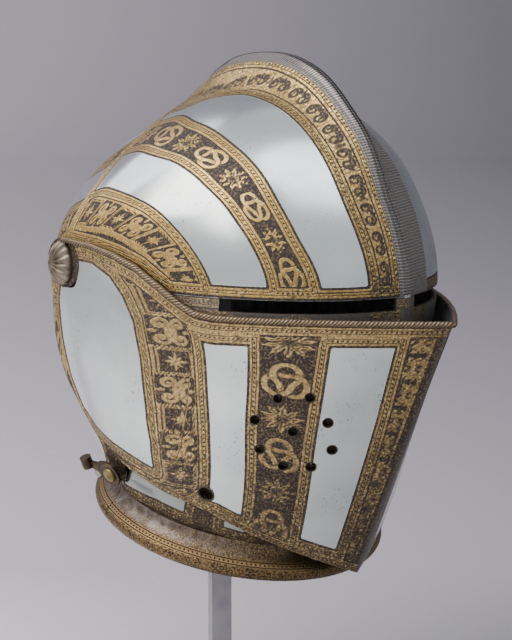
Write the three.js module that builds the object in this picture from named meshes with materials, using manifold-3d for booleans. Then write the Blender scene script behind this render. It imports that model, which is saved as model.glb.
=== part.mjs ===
// Close helmet on a stand. Millimetres, +Z up; the helmet faces -Y and the wearer's right is -X.
// The plates are first shaped about the pivot axis (the X axis through both pivot bolts). In the side
// view a place is given by its distance from that axis and its angle above straight ahead, and each
// plate has a half width there. The whole is then lifted so that the foot of the stand is at the origin.
import * as THREE from "three";
import { ParametricGeometry } from "three/addons/geometries/ParametricGeometry.js";
import { mergeVertices } from "three/addons/utils/BufferGeometryUtils.js";
import Module from "manifold-3d";

// Driving dimensions
const PIVOT_Y = 60; // pivot axis behind the middle of the foot
const PIVOT_Z = 292; // pivot axis above the floor
const PLATE = 1.8; // plate thickness
const BOSS = 14; // flat round of every plate about its pivot
const SKULL_HALF_WIDTH = 94; // outer face of the skull at the pivots
const VISOR_LIFT = 4.8; // outer face of the visor above the skull
const VENTAIL_HALF_WIDTH = 101.2; // outer face of the ventail at the pivots
const BOLT_RADIUS = 3.4;
const BOLT_HOLE_RADIUS = 3.9;
const COMB_BASE = 20; // width of one flank of the comb
const COMB_TOP = 2.2; // half width of the rim of the comb
const COMB_POWER = 2.2; // hollow of the flank
const KEEL_DISTANCE = 199; // straight keel of the ventail, from the pivot axis
const KEEL_LEAN = 25.2; // degrees that the keel leans back from upright
const NECK_TILT = 14.5; // degrees, lower at the front
const NECK_Y = -36;
const NECK_Z = -160; // middle of the underside of the neck roll
const NECK_RADIUS = 77; // throat above the roll
const NECK_RISE = 20; // throat above the underside
const NECK_FLARE = 0.8; // growth of the radius with height above the throat
const NECK_SPLIT = -14; // where the nape and the chin halves of the roll meet
const SIGHT_TOP = -9.7;
const SIGHT_BOTTOM = -17;
const SIGHT_INNER = 7; // half width of the bar between the sights
const SIGHT_OUTER = 79;
const BREATH_RADIUS = 2.7;
const CATCH_HOLE_RADIUS = 4.4;
const SHELL = { radius: 13, height: 8.6, lobes: 8, flute: 0.07 }; // head of a pivot bolt
const HOOK = { y: -21, z: -121, turn: -3, lift: 3, thickness: 2.2, curl: 3.4 };
const STUD = { y: 0, z: -124.5 };
const POST_SIDE = 12;
const POST_Y = -20;
const FOOT = { width: 170, depth: 210, thickness: 10 };

// Skull and visor: distance of the middle line from the pivot axis, fullness of the side
const DOME = {
  angle: [-40, -5, 20, 40, 60, 80, 110, 180, 200, 221, 238, 249, 256, 270, 290],
  reach: [168.6, 168.4, 153.4, 134.2, 111.5, 92, 78.2, 72.5, 77.5, 91, 107, 119, 132, 165, 180],
  fullness: [2, 2, 2, 1.85, 1.62, 1.45, 1.4, 1.4, 1.5, 1.75, 2.05, 2.3, 2.5, 2.9, 3],
};
const VISOR_RIDGE = {
  angle: [-40, -3.3, 3.4, 14.8, 27.7, 35.1, 44.5, 54, 63.1, 73.1, 79.3, 90],
  reach: [176, 171.1, 165.1, 160.2, 157.5, 153.7, 149.1, 140.2, 128.2, 114.1, 103.5, 90],
};
const SKULL_RIDGE = { angle: [30, 60, 80, 88, 97, 120, 180, 240], rise: [3, 8, 12, 8, 4, 3.4, 3.2, 2.5] };
const VENTAIL_SIDE = {
  angle: [-115, -100, -85, -72, -53, -30, -6, 30, 60],
  fullness: [1.9, 2, 2.2, 2.9, 3.5, 2.9, 2.3, 2.2, 2.1],
};
// Cheek of the bevor, swept about the pivots so that the ventail passes over it
const CHEEK = {
  distance: [0, 14, 46, 96, 123, 161, 196, 214],
  halfWidth: [96.4, 96.4, 94, 85, 81.5, 69, 32, 0],
};

// Side view outlines, [y, z]
const VISOR_OUTLINE = [[14, 0], [10, 10], [0, 18.5], [-17, 94], [-24, 150], [-230, 150], [-230, -33],
  [-150, -30], [-92, -25], [-40, -12], [-10, -13], [0, -14], [10, -10]];
const VENTAIL_OUTLINE = [[14, 0], [10, 10], [0, 14.5], [-27, 13], [-44, 10], [-60, 5], [-75, -4],
  [-90, -14.5], [-97, -18], [-108, -19.5], [-230, -19.5], [-230, -225], [-138, -174], [-118, -157],
  [-89, -135], [-62, -125.5], [-39, -117], [-20, -105.5], [-10, -98], [-2, -88], [3.5, -68], [7, -50],
  [8, -36], [12, -10]];
const BEVOR_OUTLINE = [[14, 0], [10, 10], [0, 14], [-10, 10], [-26, -10], [-60, -25], [-230, -92],
  [-230, -225], [NECK_SPLIT - 0.3, -225], [NECK_SPLIT - 0.3, -107], [0, -84], [4, -60], [11, -12]];
const SKULL_OUTLINE = [[-9, 8], [-150, 92], [-150, 160], [140, 160], [140, -190], [NECK_SPLIT + 0.3, -190],
  [NECK_SPLIT + 0.3, -106], [-9, -86], [-9, -16], [-13, -6], [-13, 3]];

// Breath holes of the wearer's right, and the catch hole near the lower edge, [y, z]
const BREATHS = [[-134.5, -65], [-147.7, -64.1], [-123, -77.7], [-152, -78.8], [-137.6, -84.3],
  [-122.8, -94.7], [-150.2, -95.1], [-130.3, -104.7], [-140.5, -105.4]];
const CATCH_HOLE = [-93.5, -123.3];

// Outline of the neck hook, [forward, up] from its rivet
const HOOK_OUTLINE = [[10, 0], [5, -5], [-3, -6.2], [-9, -4.6], [-12, -0.6], [-20, 1.6], [-20, 4.8],
  [-12, 4.8], [-9, 6.2], [-3, 7], [5, 5.4]];

// Section of the hollow neck roll, [radius, height above the underside]
const ROLL = [[77, 21], [77.6, 16.6], [80.6, 12.6], [85.8, 9], [87, 5.4], [85.6, 2], [83, 0.4],
  [82.5, 2.2], [85.2, 5.6], [84, 8.2], [78.8, 11.8], [75.7, 16.9], [75.2, 21]];

const wasm = await Module();
wasm.setup();
const { Manifold, Mesh } = wasm;
const rad = THREE.MathUtils.degToRad;
const clamp = THREE.MathUtils.clamp;

/** Smooth monotone curve through a short table. */
function curve(xs, ys) {
  const last = xs.length - 1;
  const slope = xs.slice(1).map((x, i) => (ys[i + 1] - ys[i]) / (x - xs[i]));
  const lean = xs.map((_, i) => {
    if (i === 0) return slope[0];
    if (i === last) return slope[last - 1];
    const product = slope[i - 1] * slope[i];
    return product <= 0 ? 0 : (2 * product) / (slope[i - 1] + slope[i]);
  });
  return (value) => {
    const x = clamp(value, xs[0], xs[last]);
    let i = 0;
    while (i < last - 1 && x > xs[i + 1]) i += 1;
    const h = xs[i + 1] - xs[i];
    const t = (x - xs[i]) / h;
    const s = 1 - t;
    return ys[i] * (1 + 2 * t) * s * s + h * lean[i] * t * s * s
      + ys[i + 1] * t * t * (3 - 2 * t) - h * lean[i + 1] * t * t * s;
  };
}

const domeReach = curve(DOME.angle, DOME.reach);
const domeFullness = curve(DOME.angle, DOME.fullness);
const visorRidge = curve(VISOR_RIDGE.angle, VISOR_RIDGE.reach);
const skullRidge = curve(SKULL_RIDGE.angle, SKULL_RIDGE.rise);
const ventailFullness = curve(VENTAIL_SIDE.angle, VENTAIL_SIDE.fullness);
const cheek = curve(CHEEK.distance, CHEEK.halfWidth);

/** Lesser of two widths, rounded where they meet. */
function roundedMin(a, b, blend) {
  const h = clamp(0.5 + (0.5 * (b - a)) / blend, 0, 1);
  return b + (a - b) * h - blend * h * (1 - h);
}

/** Share of the way from the flat boss to the middle line. */
const outward = (distance, reach) => clamp((distance - BOSS) / (reach - BOSS), 0, 1);

function ventailReach(angle) {
  return KEEL_DISTANCE / Math.cos(rad(clamp(angle, -51.6, 10) + KEEL_LEAN));
}

const angleOf = (y, z) => THREE.MathUtils.radToDeg(Math.atan2(z, -y));

function ventailWidth(distance, angle) {
  return VENTAIL_HALF_WIDTH * (1 - outward(distance, ventailReach(angle)) ** ventailFullness(angle));
}

const ventailHalfWidth = (y, z) => ventailWidth(Math.hypot(y, z), angleOf(y, z));

/** Height above the neck's tilted plane, and the place along it. */
function neckPlace(y, z) {
  const [c, s] = [Math.cos(rad(NECK_TILT)), Math.sin(rad(NECK_TILT))];
  return { height: (z - NECK_Z) * c - (y - NECK_Y) * s, along: (y - NECK_Y) * c + (z - NECK_Z) * s };
}

function bevorHalfWidth(y, z) {
  const { height, along } = neckPlace(y, z);
  const radius = NECK_RADIUS + NECK_FLARE * Math.max(height - NECK_RISE, 0);
  const spare = 0.6 * Math.max(34 - height, 0);
  const distance = Math.hypot(y, z);
  const angle = Math.max(angleOf(y, z), -70);
  const face = ventailWidth(distance, angle) - 6 * THREE.MathUtils.smoothstep(distance, 30, 90);
  const under = Math.min(cheek(distance), face) + spare;
  const square = radius * radius - along * along;
  const neck = square > 0 ? Math.sqrt(square) : -Math.sqrt(-square);
  return roundedMin(under, neck, 8);
}

/** Solid from a closed three.js geometry. */
function solid(geometry) {
  let g = geometry.clone();
  g.deleteAttribute("normal");
  g.deleteAttribute("uv");
  g = mergeVertices(g, 1e-4);
  const index = g.index.array;
  const triangles = [];
  for (let i = 0; i < index.length; i += 3) {
    const [a, b, c] = [index[i], index[i + 1], index[i + 2]];
    if (a !== b && b !== c && c !== a) triangles.push(a, b, c);
  }
  return new Manifold(new Mesh({
    numProp: 3,
    vertProperties: new Float32Array(g.attributes.position.array),
    triVerts: new Uint32Array(triangles),
  }));
}

/** Closed body about the pivot axis: `distance(angle, share)` at each share of the half width. */
function body(halfWidth, distance, angles, shares) {
  const sides = [...[...shares].reverse(), ...shares.slice(1).map((s) => -s)];
  const [rows, columns] = [sides.length - 1, angles.length];
  const place = (u, v, target) => {
    const angle = angles[Math.round(u * columns) % columns];
    const side = sides[Math.round(v * rows)];
    const d = Math.abs(side) === 1 ? 0 : distance(angle, Math.abs(side));
    target.set(side * halfWidth, -d * Math.cos(rad(angle)), d * Math.sin(rad(angle)));
  };
  return solid(new ParametricGeometry(place, columns, rows));
}

/** Side view outline carried across the whole width. */
function acrossX(outline, from = -130, to = 130) {
  const shape = new THREE.Shape(outline.map(([y, z]) => new THREE.Vector2(y, z)));
  const g = new THREE.ExtrudeGeometry(shape, { depth: to - from, bevelEnabled: false, steps: 1 });
  const turn = new THREE.Matrix4().makeBasis(
    new THREE.Vector3(0, 1, 0), new THREE.Vector3(0, 0, 1), new THREE.Vector3(1, 0, 0));
  return solid(g.applyMatrix4(turn).translate(from, 0, 0));
}

function box(sizeX, sizeY, sizeZ, x, y, z) {
  return solid(new THREE.BoxGeometry(sizeX, sizeY, sizeZ).translate(x, y, z));
}

/** Round bar along `direction`, its middle at `at`. */
function bar(radius, length, at, direction, sides = 16) {
  const g = new THREE.CylinderGeometry(radius, radius, length, sides);
  g.applyQuaternion(new THREE.Quaternion().setFromUnitVectors(new THREE.Vector3(0, 1, 0), direction));
  return solid(g.translate(at.x, at.y, at.z));
}

const X_AXIS = new THREE.Vector3(1, 0, 0);
const spread = (fine, from, to, coarse = 30) => {
  const angles = [];
  for (let a = from; a <= to + 1e-6; a += fine) angles.push(a);
  for (let a = to + coarse; a < from + 360 - coarse / 2; a += coarse) angles.push(a);
  return angles;
};
const wrap = (angle) => ((angle + 69.9) % 360) - 69.9;

const FINE_SHARES = [0, 0.022, 0.045, 0.08, 0.13, 0.22, 0.36, 0.5, 0.64, 0.77, 0.88, 0.96, 0.9998, 1];
const PLAIN_SHARES = [0, 0.13, 0.27, 0.41, 0.55, 0.68, 0.8, 0.9, 0.965, 0.9998, 1];
const NECK_SHARES = [0, 0.18, 0.35, 0.5, 0.62, 0.7, 0.76, 0.81, 0.86, 0.91, 0.96, 0.9998, 1];

function domeDistance(angle, share, lift) {
  const n = domeFullness(wrap(angle));
  return BOSS + (domeReach(wrap(angle)) + lift - BOSS) * (1 - share ** n) ** (1 / n);
}

const flank = (x, top) => clamp(1 - Math.max(Math.abs(x) - top, 0) / COMB_BASE, 0, 1) ** COMB_POWER;

function visorBody(lift) {
  const halfWidth = SKULL_HALF_WIDTH + lift;
  const top = Math.max(COMB_TOP + 0.9 * (lift - VISOR_LIFT), 0.5);
  const distance = (angle, share) => {
    const rise = Math.max(visorRidge(wrap(angle)) - domeReach(wrap(angle)), 3);
    return domeDistance(angle, share, lift) + rise * flank(share * halfWidth, top);
  };
  return body(halfWidth, distance, spread(7, -21, 98), FINE_SHARES);
}

/** The skull narrows below to pass inside the bevor and ends in the round throat. */
function skullBody(lift) {
  const halfWidth = SKULL_HALF_WIDTH + lift;
  const width = (angle, distance) => {
    const [y, z] = [-distance * Math.cos(rad(angle)), distance * Math.sin(rad(angle))];
    const n = domeFullness(wrap(angle));
    const dome = halfWidth * (1 - outward(distance, domeReach(wrap(angle)) + lift) ** n) ** (1 / n);
    if (wrap(angle) < 195) return dome;
    const inside = 3 * THREE.MathUtils.smoothstep(neckPlace(y, z).height, 30, 48)
      * THREE.MathUtils.smoothstep(distance, 20, 40);
    return roundedMin(dome, bevorHalfWidth(y, z) - inside + lift, 3);
  };
  const distance = (angle, share) => {
    let [low, high] = [0, 230];
    for (let i = 0; i < 40; i += 1) {
      const middle = (low + high) / 2;
      if (width(angle, middle) > share * halfWidth) low = middle;
      else high = middle;
    }
    const rise = skullRidge(wrap(angle)) * (lift < 0 ? 0.7 : 1);
    return low + rise * flank(share * halfWidth, 0.4);
  };
  return body(halfWidth, distance, spread(10, 20, 290), NECK_SHARES);
}

function ventailBody(lift) {
  const distance = (angle, share) => {
    const a = wrap(angle) > 150 ? wrap(angle) - 360 : wrap(angle);
    return BOSS + (ventailReach(a) + 1.25 * lift - BOSS) * (1 - share) ** (1 / ventailFullness(a));
  };
  return body(VENTAIL_HALF_WIDTH + lift, distance, spread(7, -119, 28), PLAIN_SHARES);
}

function bevorBody(lift) {
  const halfWidth = CHEEK.halfWidth[0] + lift;
  const distance = (angle, share) => {
    let [low, high] = [0, 240];
    for (let i = 0; i < 40; i += 1) {
      const middle = (low + high) / 2;
      const width = bevorHalfWidth(-middle * Math.cos(rad(angle)), middle * Math.sin(rad(angle)));
      if (width + lift > share * halfWidth) low = middle;
      else high = middle;
    }
    return low;
  };
  return body(halfWidth, distance, spread(7, -119, 28), NECK_SHARES);
}

/** Half space above or below the tilted plane of the neck, as a thick slab. */
function neckSlab(from, to) {
  const g = new THREE.BoxGeometry(400, 500, to - from).translate(0, 0, (from + to) / 2);
  return solid(g.rotateX(rad(NECK_TILT)).translate(0, NECK_Y, NECK_Z));
}

function neckRoll() {
  const section = [...ROLL, ROLL[0]].map(([r, h]) => new THREE.Vector2(r, h)).reverse();
  const g = new THREE.LatheGeometry(section, 40).rotateX(Math.PI / 2);
  return solid(g.rotateX(rad(NECK_TILT)).translate(0, NECK_Y, NECK_Z));
}

const boltHole = bar(BOLT_HOLE_RADIUS, 280, new THREE.Vector3(), X_AXIS, 20);
const aboveThroat = neckSlab(NECK_RISE - 0.2, 420);
const roll = neckRoll();

// Skull with the nape half of the roll
const napeHalf = box(260, 200, 300, 0, NECK_SPLIT + 0.3 + 100, -180);
const skullInside = skullBody(-PLATE);
const skull = skullBody(0).subtract(skullInside).intersect(acrossX(SKULL_OUTLINE)).intersect(aboveThroat)
  .add(roll.intersect(napeHalf)).subtract(boltHole);

// Visor with two sights
const sight = [[-230, SIGHT_BOTTOM], [-60, SIGHT_BOTTOM], [-60, SIGHT_TOP], [-230, SIGHT_TOP]];
const visor = visorBody(VISOR_LIFT).subtract(visorBody(VISOR_LIFT - PLATE))
  .intersect(acrossX(VISOR_OUTLINE))
  .subtract(acrossX(sight, SIGHT_INNER, SIGHT_OUTER)).subtract(acrossX(sight, -SIGHT_OUTER, -SIGHT_INNER))
  .subtract(boltHole);

// Bevor with the chin half of the roll
const chinHalf = box(260, 200, 300, 0, NECK_SPLIT - 0.3 - 100, -180);
const bevor = bevorBody(0).subtract(bevorBody(-PLATE))
  .intersect(acrossX(BEVOR_OUTLINE)).intersect(aboveThroat)
  .add(roll.intersect(chinHalf)).subtract(boltHole);

/** Outward direction of the ventail's right side. */
function ventailNormal(y, z) {
  const step = 0.5;
  const slopeY = (ventailHalfWidth(y + step, z) - ventailHalfWidth(y - step, z)) / (2 * step);
  const slopeZ = (ventailHalfWidth(y, z + step) - ventailHalfWidth(y, z - step)) / (2 * step);
  return new THREE.Vector3(-1, -slopeY, -slopeZ).normalize();
}

const drill = ([y, z], radius) => bar(
  radius, 16, new THREE.Vector3(-ventailHalfWidth(y, z), y, z), ventailNormal(y, z), 12);

// Ventail with its breaths
let ventail = ventailBody(0).subtract(ventailBody(-PLATE))
  .intersect(acrossX(VENTAIL_OUTLINE)).subtract(boltHole);
for (const at of BREATHS) ventail = ventail.subtract(drill(at, BREATH_RADIUS));
ventail = ventail.subtract(drill(CATCH_HOLE, CATCH_HOLE_RADIUS));

/** Pivot bolt: shank through the plates, nut inside, domed head outside in the form of a shell. */
function pivotBolt(side) {
  const inner = SKULL_HALF_WIDTH - PLATE;
  const shank = bar(BOLT_RADIUS, 19, new THREE.Vector3(side * (inner + 3), 0, 0), X_AXIS, 20);
  const nut = bar(7, 3.2, new THREE.Vector3(side * (inner - 2.8), 0, 0), X_AXIS, 6);
  const scallop = (u, v, target) => {
    const around = -side * 2 * Math.PI * (u % 1);
    const share = Math.min(v / 0.75, 4 * (1 - v), 1);
    const lobe = SHELL.flute * Math.cos(SHELL.lobes * around) * Math.min(2 * share, 1);
    const r = SHELL.radius * share * (1 + lobe);
    const rise = v < 0.8 ? SHELL.height * Math.sqrt(1 - 0.86 * share * share) : 0;
    target.set(side * (VENTAIL_HALF_WIDTH + 0.35 + rise), r * Math.cos(around), r * Math.sin(around));
  };
  return shank.add(nut).add(solid(new ParametricGeometry(scallop, 40, 4)));
}

/** Frame on the right side of the neck: forward, up and outward. */
function neckFrame(y, z) {
  const step = 0.5;
  const slopeY = (bevorHalfWidth(y + step, z) - bevorHalfWidth(y - step, z)) / (2 * step);
  const slopeZ = (bevorHalfWidth(y, z + step) - bevorHalfWidth(y, z - step)) / (2 * step);
  const out = new THREE.Vector3(-1, -slopeY, -slopeZ).normalize();
  const forward = new THREE.Vector3(0, -1, 0).projectOnPlane(out).normalize();
  return new THREE.Matrix4().makeBasis(forward, new THREE.Vector3().crossVectors(out, forward), out)
    .setPosition(-bevorHalfWidth(y, z), y, z);
}

// Neck catch of the wearer's right: turning hook on the bevor, ball stud on the nape half
const hookFrame = neckFrame(HOOK.y + HOOK.turn, HOOK.z)
  .setPosition(-bevorHalfWidth(HOOK.y, HOOK.z), HOOK.y, HOOK.z);
const studFrame = neckFrame(STUD.y, STUD.z);

function hookPlate() {
  const shape = new THREE.Shape(HOOK_OUTLINE.map(([x, y]) => new THREE.Vector2(x, y)));
  const plate = new THREE.ExtrudeGeometry(shape, { depth: HOOK.thickness, bevelEnabled: false, steps: 1 })
    .translate(0, 0, HOOK.lift);
  const curl = new THREE.CylinderGeometry(HOOK.curl, HOOK.curl, 7, 16).translate(-20, 4.4, HOOK.lift + 2);
  const hole = new THREE.CylinderGeometry(2.6, 2.6, 20, 16).rotateX(Math.PI / 2);
  return solid(plate).add(solid(curl)).subtract(solid(hole)).transform(hookFrame.elements);
}

const turned = (section, sides) => solid(
  new THREE.LatheGeometry(section.map(([r, h]) => new THREE.Vector2(r, h)), sides).rotateX(Math.PI / 2));

function hookRivet() {
  const head = HOOK.lift + HOOK.thickness + 0.4;
  const section = [[0, 1.2], [2.2, 1.2], [2.2, head], [4.4, head], [3.6, head + 1.8], [1.8, head + 2.8],
    [0, head + 3]];
  return turned(section, 20).transform(hookFrame.elements);
}

function hookStud() {
  return turned([[0, 0.6], [1.8, 0.6], [1.8, 3], [3.2, 4], [4, 5.8], [3.8, 7.6], [2.4, 9.2], [0, 9.8]], 20)
    .transform(studFrame.elements);
}

// Stand: foot, square post and a pad that fits under the crown
function standBody() {
  const floor = -PIVOT_Z;
  const foot = box(FOOT.width, FOOT.depth, FOOT.thickness, 0, -PIVOT_Y, floor + FOOT.thickness / 2);
  const post = new THREE.BoxGeometry(POST_SIDE, POST_SIDE, PIVOT_Z + 60).rotateZ(rad(-30))
    .translate(0, POST_Y, (60 - PIVOT_Z) / 2);
  const pad = box(56, 44, 50, 0, POST_Y - 4, 74).intersect(skullBody(-PLATE - 0.6))
    .subtract(box(80, 80, 40, 0, POST_Y, 35));
  return foot.add(solid(post)).add(pad);
}

/** Mesh for one named sub-part. */
function part(name, body, colour, roughness, metalness = 1) {
  const mesh = body.getMesh();
  const g = new THREE.BufferGeometry();
  g.setAttribute("position", new THREE.BufferAttribute(new Float32Array(mesh.vertProperties), 3));
  g.setIndex(new THREE.BufferAttribute(new Uint32Array(mesh.triVerts), 1));
  g.computeVertexNormals();
  const node = new THREE.Mesh(g, new THREE.MeshStandardMaterial({ color: colour, roughness, metalness }));
  node.name = name;
  return node;
}

const STEEL = 0xc9d1d3;
const GILT = 0x8d6f3c;
const helmet = new THREE.Group();
helmet.position.set(0, PIVOT_Y, PIVOT_Z);
helmet.add(
  part("skull", skull, STEEL, 0.25),
  part("visor", visor, STEEL, 0.2),
  part("bevor", bevor, GILT, 0.4),
  part("ventail", ventail, STEEL, 0.2),
  part("pivot_right", pivotBolt(-1), GILT, 0.4),
  part("pivot_left", pivotBolt(1), GILT, 0.4),
  part("neck_hook", hookPlate(), GILT, 0.45),
  part("hook_rivet", hookRivet(), STEEL, 0.3),
  part("hook_stud", hookStud(), STEEL, 0.3),
  part("stand", standBody(), 0x8b898f, 0.5, 0.3),
);

const group = new THREE.Group();
group.add(helmet);
export default group;
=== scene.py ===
"""Close helmet on a stand: etched and part-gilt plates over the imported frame."""

import logging
import math
from dataclasses import dataclass, field
from enum import Enum
from typing import Callable, Iterable, Sequence

import bmesh
import bpy
import numpy as np
from mathutils import Matrix


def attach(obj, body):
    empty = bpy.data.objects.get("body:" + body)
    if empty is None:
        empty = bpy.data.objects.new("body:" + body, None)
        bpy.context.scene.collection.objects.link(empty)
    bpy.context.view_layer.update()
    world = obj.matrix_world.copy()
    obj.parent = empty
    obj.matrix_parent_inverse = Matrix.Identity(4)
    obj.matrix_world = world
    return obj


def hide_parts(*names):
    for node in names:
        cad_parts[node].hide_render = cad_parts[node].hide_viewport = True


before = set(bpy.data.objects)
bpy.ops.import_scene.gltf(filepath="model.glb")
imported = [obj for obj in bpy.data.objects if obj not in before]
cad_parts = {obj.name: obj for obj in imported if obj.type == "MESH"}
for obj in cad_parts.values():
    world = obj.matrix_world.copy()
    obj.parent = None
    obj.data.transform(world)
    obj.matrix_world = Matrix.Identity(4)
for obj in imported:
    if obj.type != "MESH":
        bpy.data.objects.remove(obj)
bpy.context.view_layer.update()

Array = np.ndarray
LOG = logging.getLogger("close_helmet")

PIVOT = np.array([0.0, 60.0, 292.0])  # pivot axis in the row frame, mm
PLATE = 1.8  # thickness of the plates, mm
BOSS = 14.0  # flat round the pivots, mm
SHANK = 3.4  # radius of the pivot bolts, mm
BORDER = 7.8  # width of the lines and dots beside a plain panel, mm
VENTAIL_WIDTH = 101.2  # half width of the ventail at the pivots, mm
KEEL = (199.0, -25.2)  # nearest distance of the keel from the pivot axis, mm, and the angle at which it lies
KEEL_ENDS = (-51.6, 10.0)  # angles beyond which the keel's distance is held
NECK_FOOT = (-36.0, -160.0)  # middle of the neck's underside, as y and z
NECK_TILT = math.radians(14.5)  # slope of the underside, down to the front
NECK_COS, NECK_SIN = math.cos(NECK_TILT), math.sin(NECK_TILT)
NECK_TOP = 19.8  # height above the underside at which the plates end in the roll, mm
NECK_JOINT = -14.0  # y of the plane in which the two halves of the neck meet
INSIDE = (-30.0, -60.0)  # point inside the head from which the bevor is laid out, as y and z
COMB_REACH = 20.0  # how far the flanks of the comb spread, mm
NOTHING = -99.0  # how far past a side a point lies where there is no such side, mm
LAST_SHARE = 0.9996  # share of the half width at the outermost column


def curve(places: Sequence[float], values: Sequence[float]) -> Callable[[Array], Array]:
    """Smooth monotone curve through a short table.

    Args:
        places: Rising positions of the table.
        values: Value at each position.

    Returns:
        A function that takes an array of positions, held at the table's ends.
    """
    xs, ys = np.array(places, float), np.array(values, float)
    step = np.diff(xs)
    slope = np.diff(ys) / step
    product, total = slope[:-1] * slope[1:], slope[:-1] + slope[1:]
    inner = np.where(product > 0, 2 * product / np.where(total == 0, 1, total), 0)
    lean = np.concatenate([slope[:1], inner, slope[-1:]])

    def at(position: Array) -> Array:
        """Cubic between the table's two nearest values.

        Args:
            position: Positions on the curve.

        Returns:
            Value at each position.
        """
        x = np.clip(position, xs[0], xs[-1])
        i = np.clip(np.searchsorted(xs, x) - 1, 0, len(step) - 1)
        t = (x - xs[i]) / step[i]
        s = 1 - t
        ends = ys[i] * (1 + 2 * t) * s * s + ys[i + 1] * t * t * (3 - 2 * t)
        return ends + step[i] * t * s * (lean[i] * s - lean[i + 1] * t)

    return at


def smoothstep(value: Array, low: float, high: float) -> Array:
    """Rise from 0 at low to 1 at high with level ends."""
    t = np.clip((value - low) / (high - low), 0, 1)
    return t * t * (3 - 2 * t)


def rounded_min(a: Array, b: Array, blend: float) -> Array:
    """Lesser of two widths, rounded where they meet over `blend` mm."""
    h = np.clip(0.5 + 0.5 * (b - a) / blend, 0, 1)
    return b + (a - b) * h - blend * h * (1 - h)


def inside_polygon(y: Array, z: Array, outline: Sequence[tuple[float, float]]) -> Array:
    """Signed distance to a closed outline, mm, positive inside.

    Args:
        y: First coordinate of each point.
        z: Second coordinate of each point.
        outline: Corners in order.

    Returns:
        Distance to the nearest side, with the sign of an even-odd crossing test.
    """
    corners = np.array(outline, float)
    best = np.full(np.shape(y), np.inf)
    inside = np.zeros(np.shape(y), bool)
    for (ay, az), (by, bz) in zip(corners, np.roll(corners, -1, axis=0)):
        ey, ez = by - ay, bz - az
        t = np.clip(((y - ay) * ey + (z - az) * ez) / (ey * ey + ez * ez), 0, 1)
        best = np.minimum(best, np.hypot(y - ay - t * ey, z - az - t * ez))
        if ez != 0:
            inside ^= ((az > z) != (bz > z)) & (y < ay + (z - az) * ey / ez)
    return np.where(inside, best, -best)


# Shapes of the plates by the angle about the pivot axis, and of the cheeks by the distance from it. A reach
# or ridge is the middle line's distance or height in mm, and a fullness is the power of the cross curve.
dome_reach = curve([-40, -5, 20, 40, 60, 80, 110, 180, 200, 221, 238, 249, 256, 270, 290],
                   [168.6, 168.4, 153.4, 134.2, 111.5, 92, 78.2, 72.5, 77.5, 91, 107, 119, 132, 165, 180])
dome_fullness = curve([-40, -5, 20, 40, 60, 80, 110, 180, 200, 221, 238, 249, 256, 270, 290],
                      [2, 2, 2, 1.85, 1.62, 1.45, 1.4, 1.4, 1.5, 1.75, 2.05, 2.3, 2.5, 2.9, 3])
visor_ridge = curve([-40, -3.3, 3.4, 14.8, 27.7, 35.1, 44.5, 54, 63.1, 73.1, 79.3, 90],
                    [176, 171.1, 165.1, 160.2, 157.5, 153.7, 149.1, 140.2, 128.2, 114.1, 103.5, 90])
skull_ridge = curve([30, 60, 80, 88, 97, 120, 180, 240], [3, 8, 12, 8, 4, 3.4, 3.2, 2.5])
ventail_fullness = curve([-115, -100, -85, -72, -53, -30, -6, 30, 60],
                         [1.9, 2, 2.2, 2.9, 3.5, 2.9, 2.3, 2.2, 2.1])
cheek_width = curve([0, 14, 46, 96, 123, 161, 196, 214], [96.4, 96.4, 94, 85, 81.5, 69, 32, 0])


def neck_place(y: Array, z: Array) -> tuple[Array, Array]:
    """Height above the neck's tilted underside and place along it, mm."""
    back, up = y - NECK_FOOT[0], z - NECK_FOOT[1]
    return up * NECK_COS - back * NECK_SIN, back * NECK_COS + up * NECK_SIN


def ventail_reach(angle: Array) -> Array:
    """Distance of the straight keel from the pivot axis at an angle in degrees."""
    return KEEL[0] / np.cos(np.radians(np.clip(angle, *KEEL_ENDS) - KEEL[1]))


def ventail_width(distance: Array, angle: Array) -> Array:
    """Half width of the ventail at a distance from the pivot axis."""
    share = np.clip((distance - BOSS) / (ventail_reach(angle) - BOSS), 0, 1)
    return VENTAIL_WIDTH * (1 - share ** ventail_fullness(angle))


def bevor_width(y: Array, z: Array) -> Array:
    """Half width of the bevor: cheeks under the ventail, drawn in to a round flared throat.

    Args:
        y: Place from front to back from the pivot axis, mm.
        z: Height above the pivot axis, mm.

    Returns:
        Half width in mm, below 0 past the throat.
    """
    height, along = neck_place(y, z)
    radius = 77 + 0.8 * np.maximum(height - 20, 0)
    distance, angle = np.hypot(y, z), np.degrees(np.arctan2(z, -y))
    face = ventail_width(distance, np.maximum(angle, -70)) - 6 * smoothstep(distance, 30, 90)
    under = np.minimum(cheek_width(distance), face) + 0.6 * np.maximum(34 - height, 0)
    square = radius * radius - along * along
    return rounded_min(under, np.sign(square) * np.sqrt(np.abs(square)), 8)


def farthest(width: Callable[[Array], Array], target: Array, limit: float) -> Array:
    """Greatest distance at which a falling width still exceeds the target, by halving.

    Args:
        width: Width as a function of the distance.
        target: Width to exceed.
        limit: Greatest distance to try.

    Returns:
        Distance for each target.
    """
    low, high = np.zeros(np.shape(target)), np.full(np.shape(target), limit)
    for _ in range(30):
        middle = (low + high) / 2
        more = width(middle) > target
        low, high = np.where(more, middle, low), np.where(more, high, middle)
    return low


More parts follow.
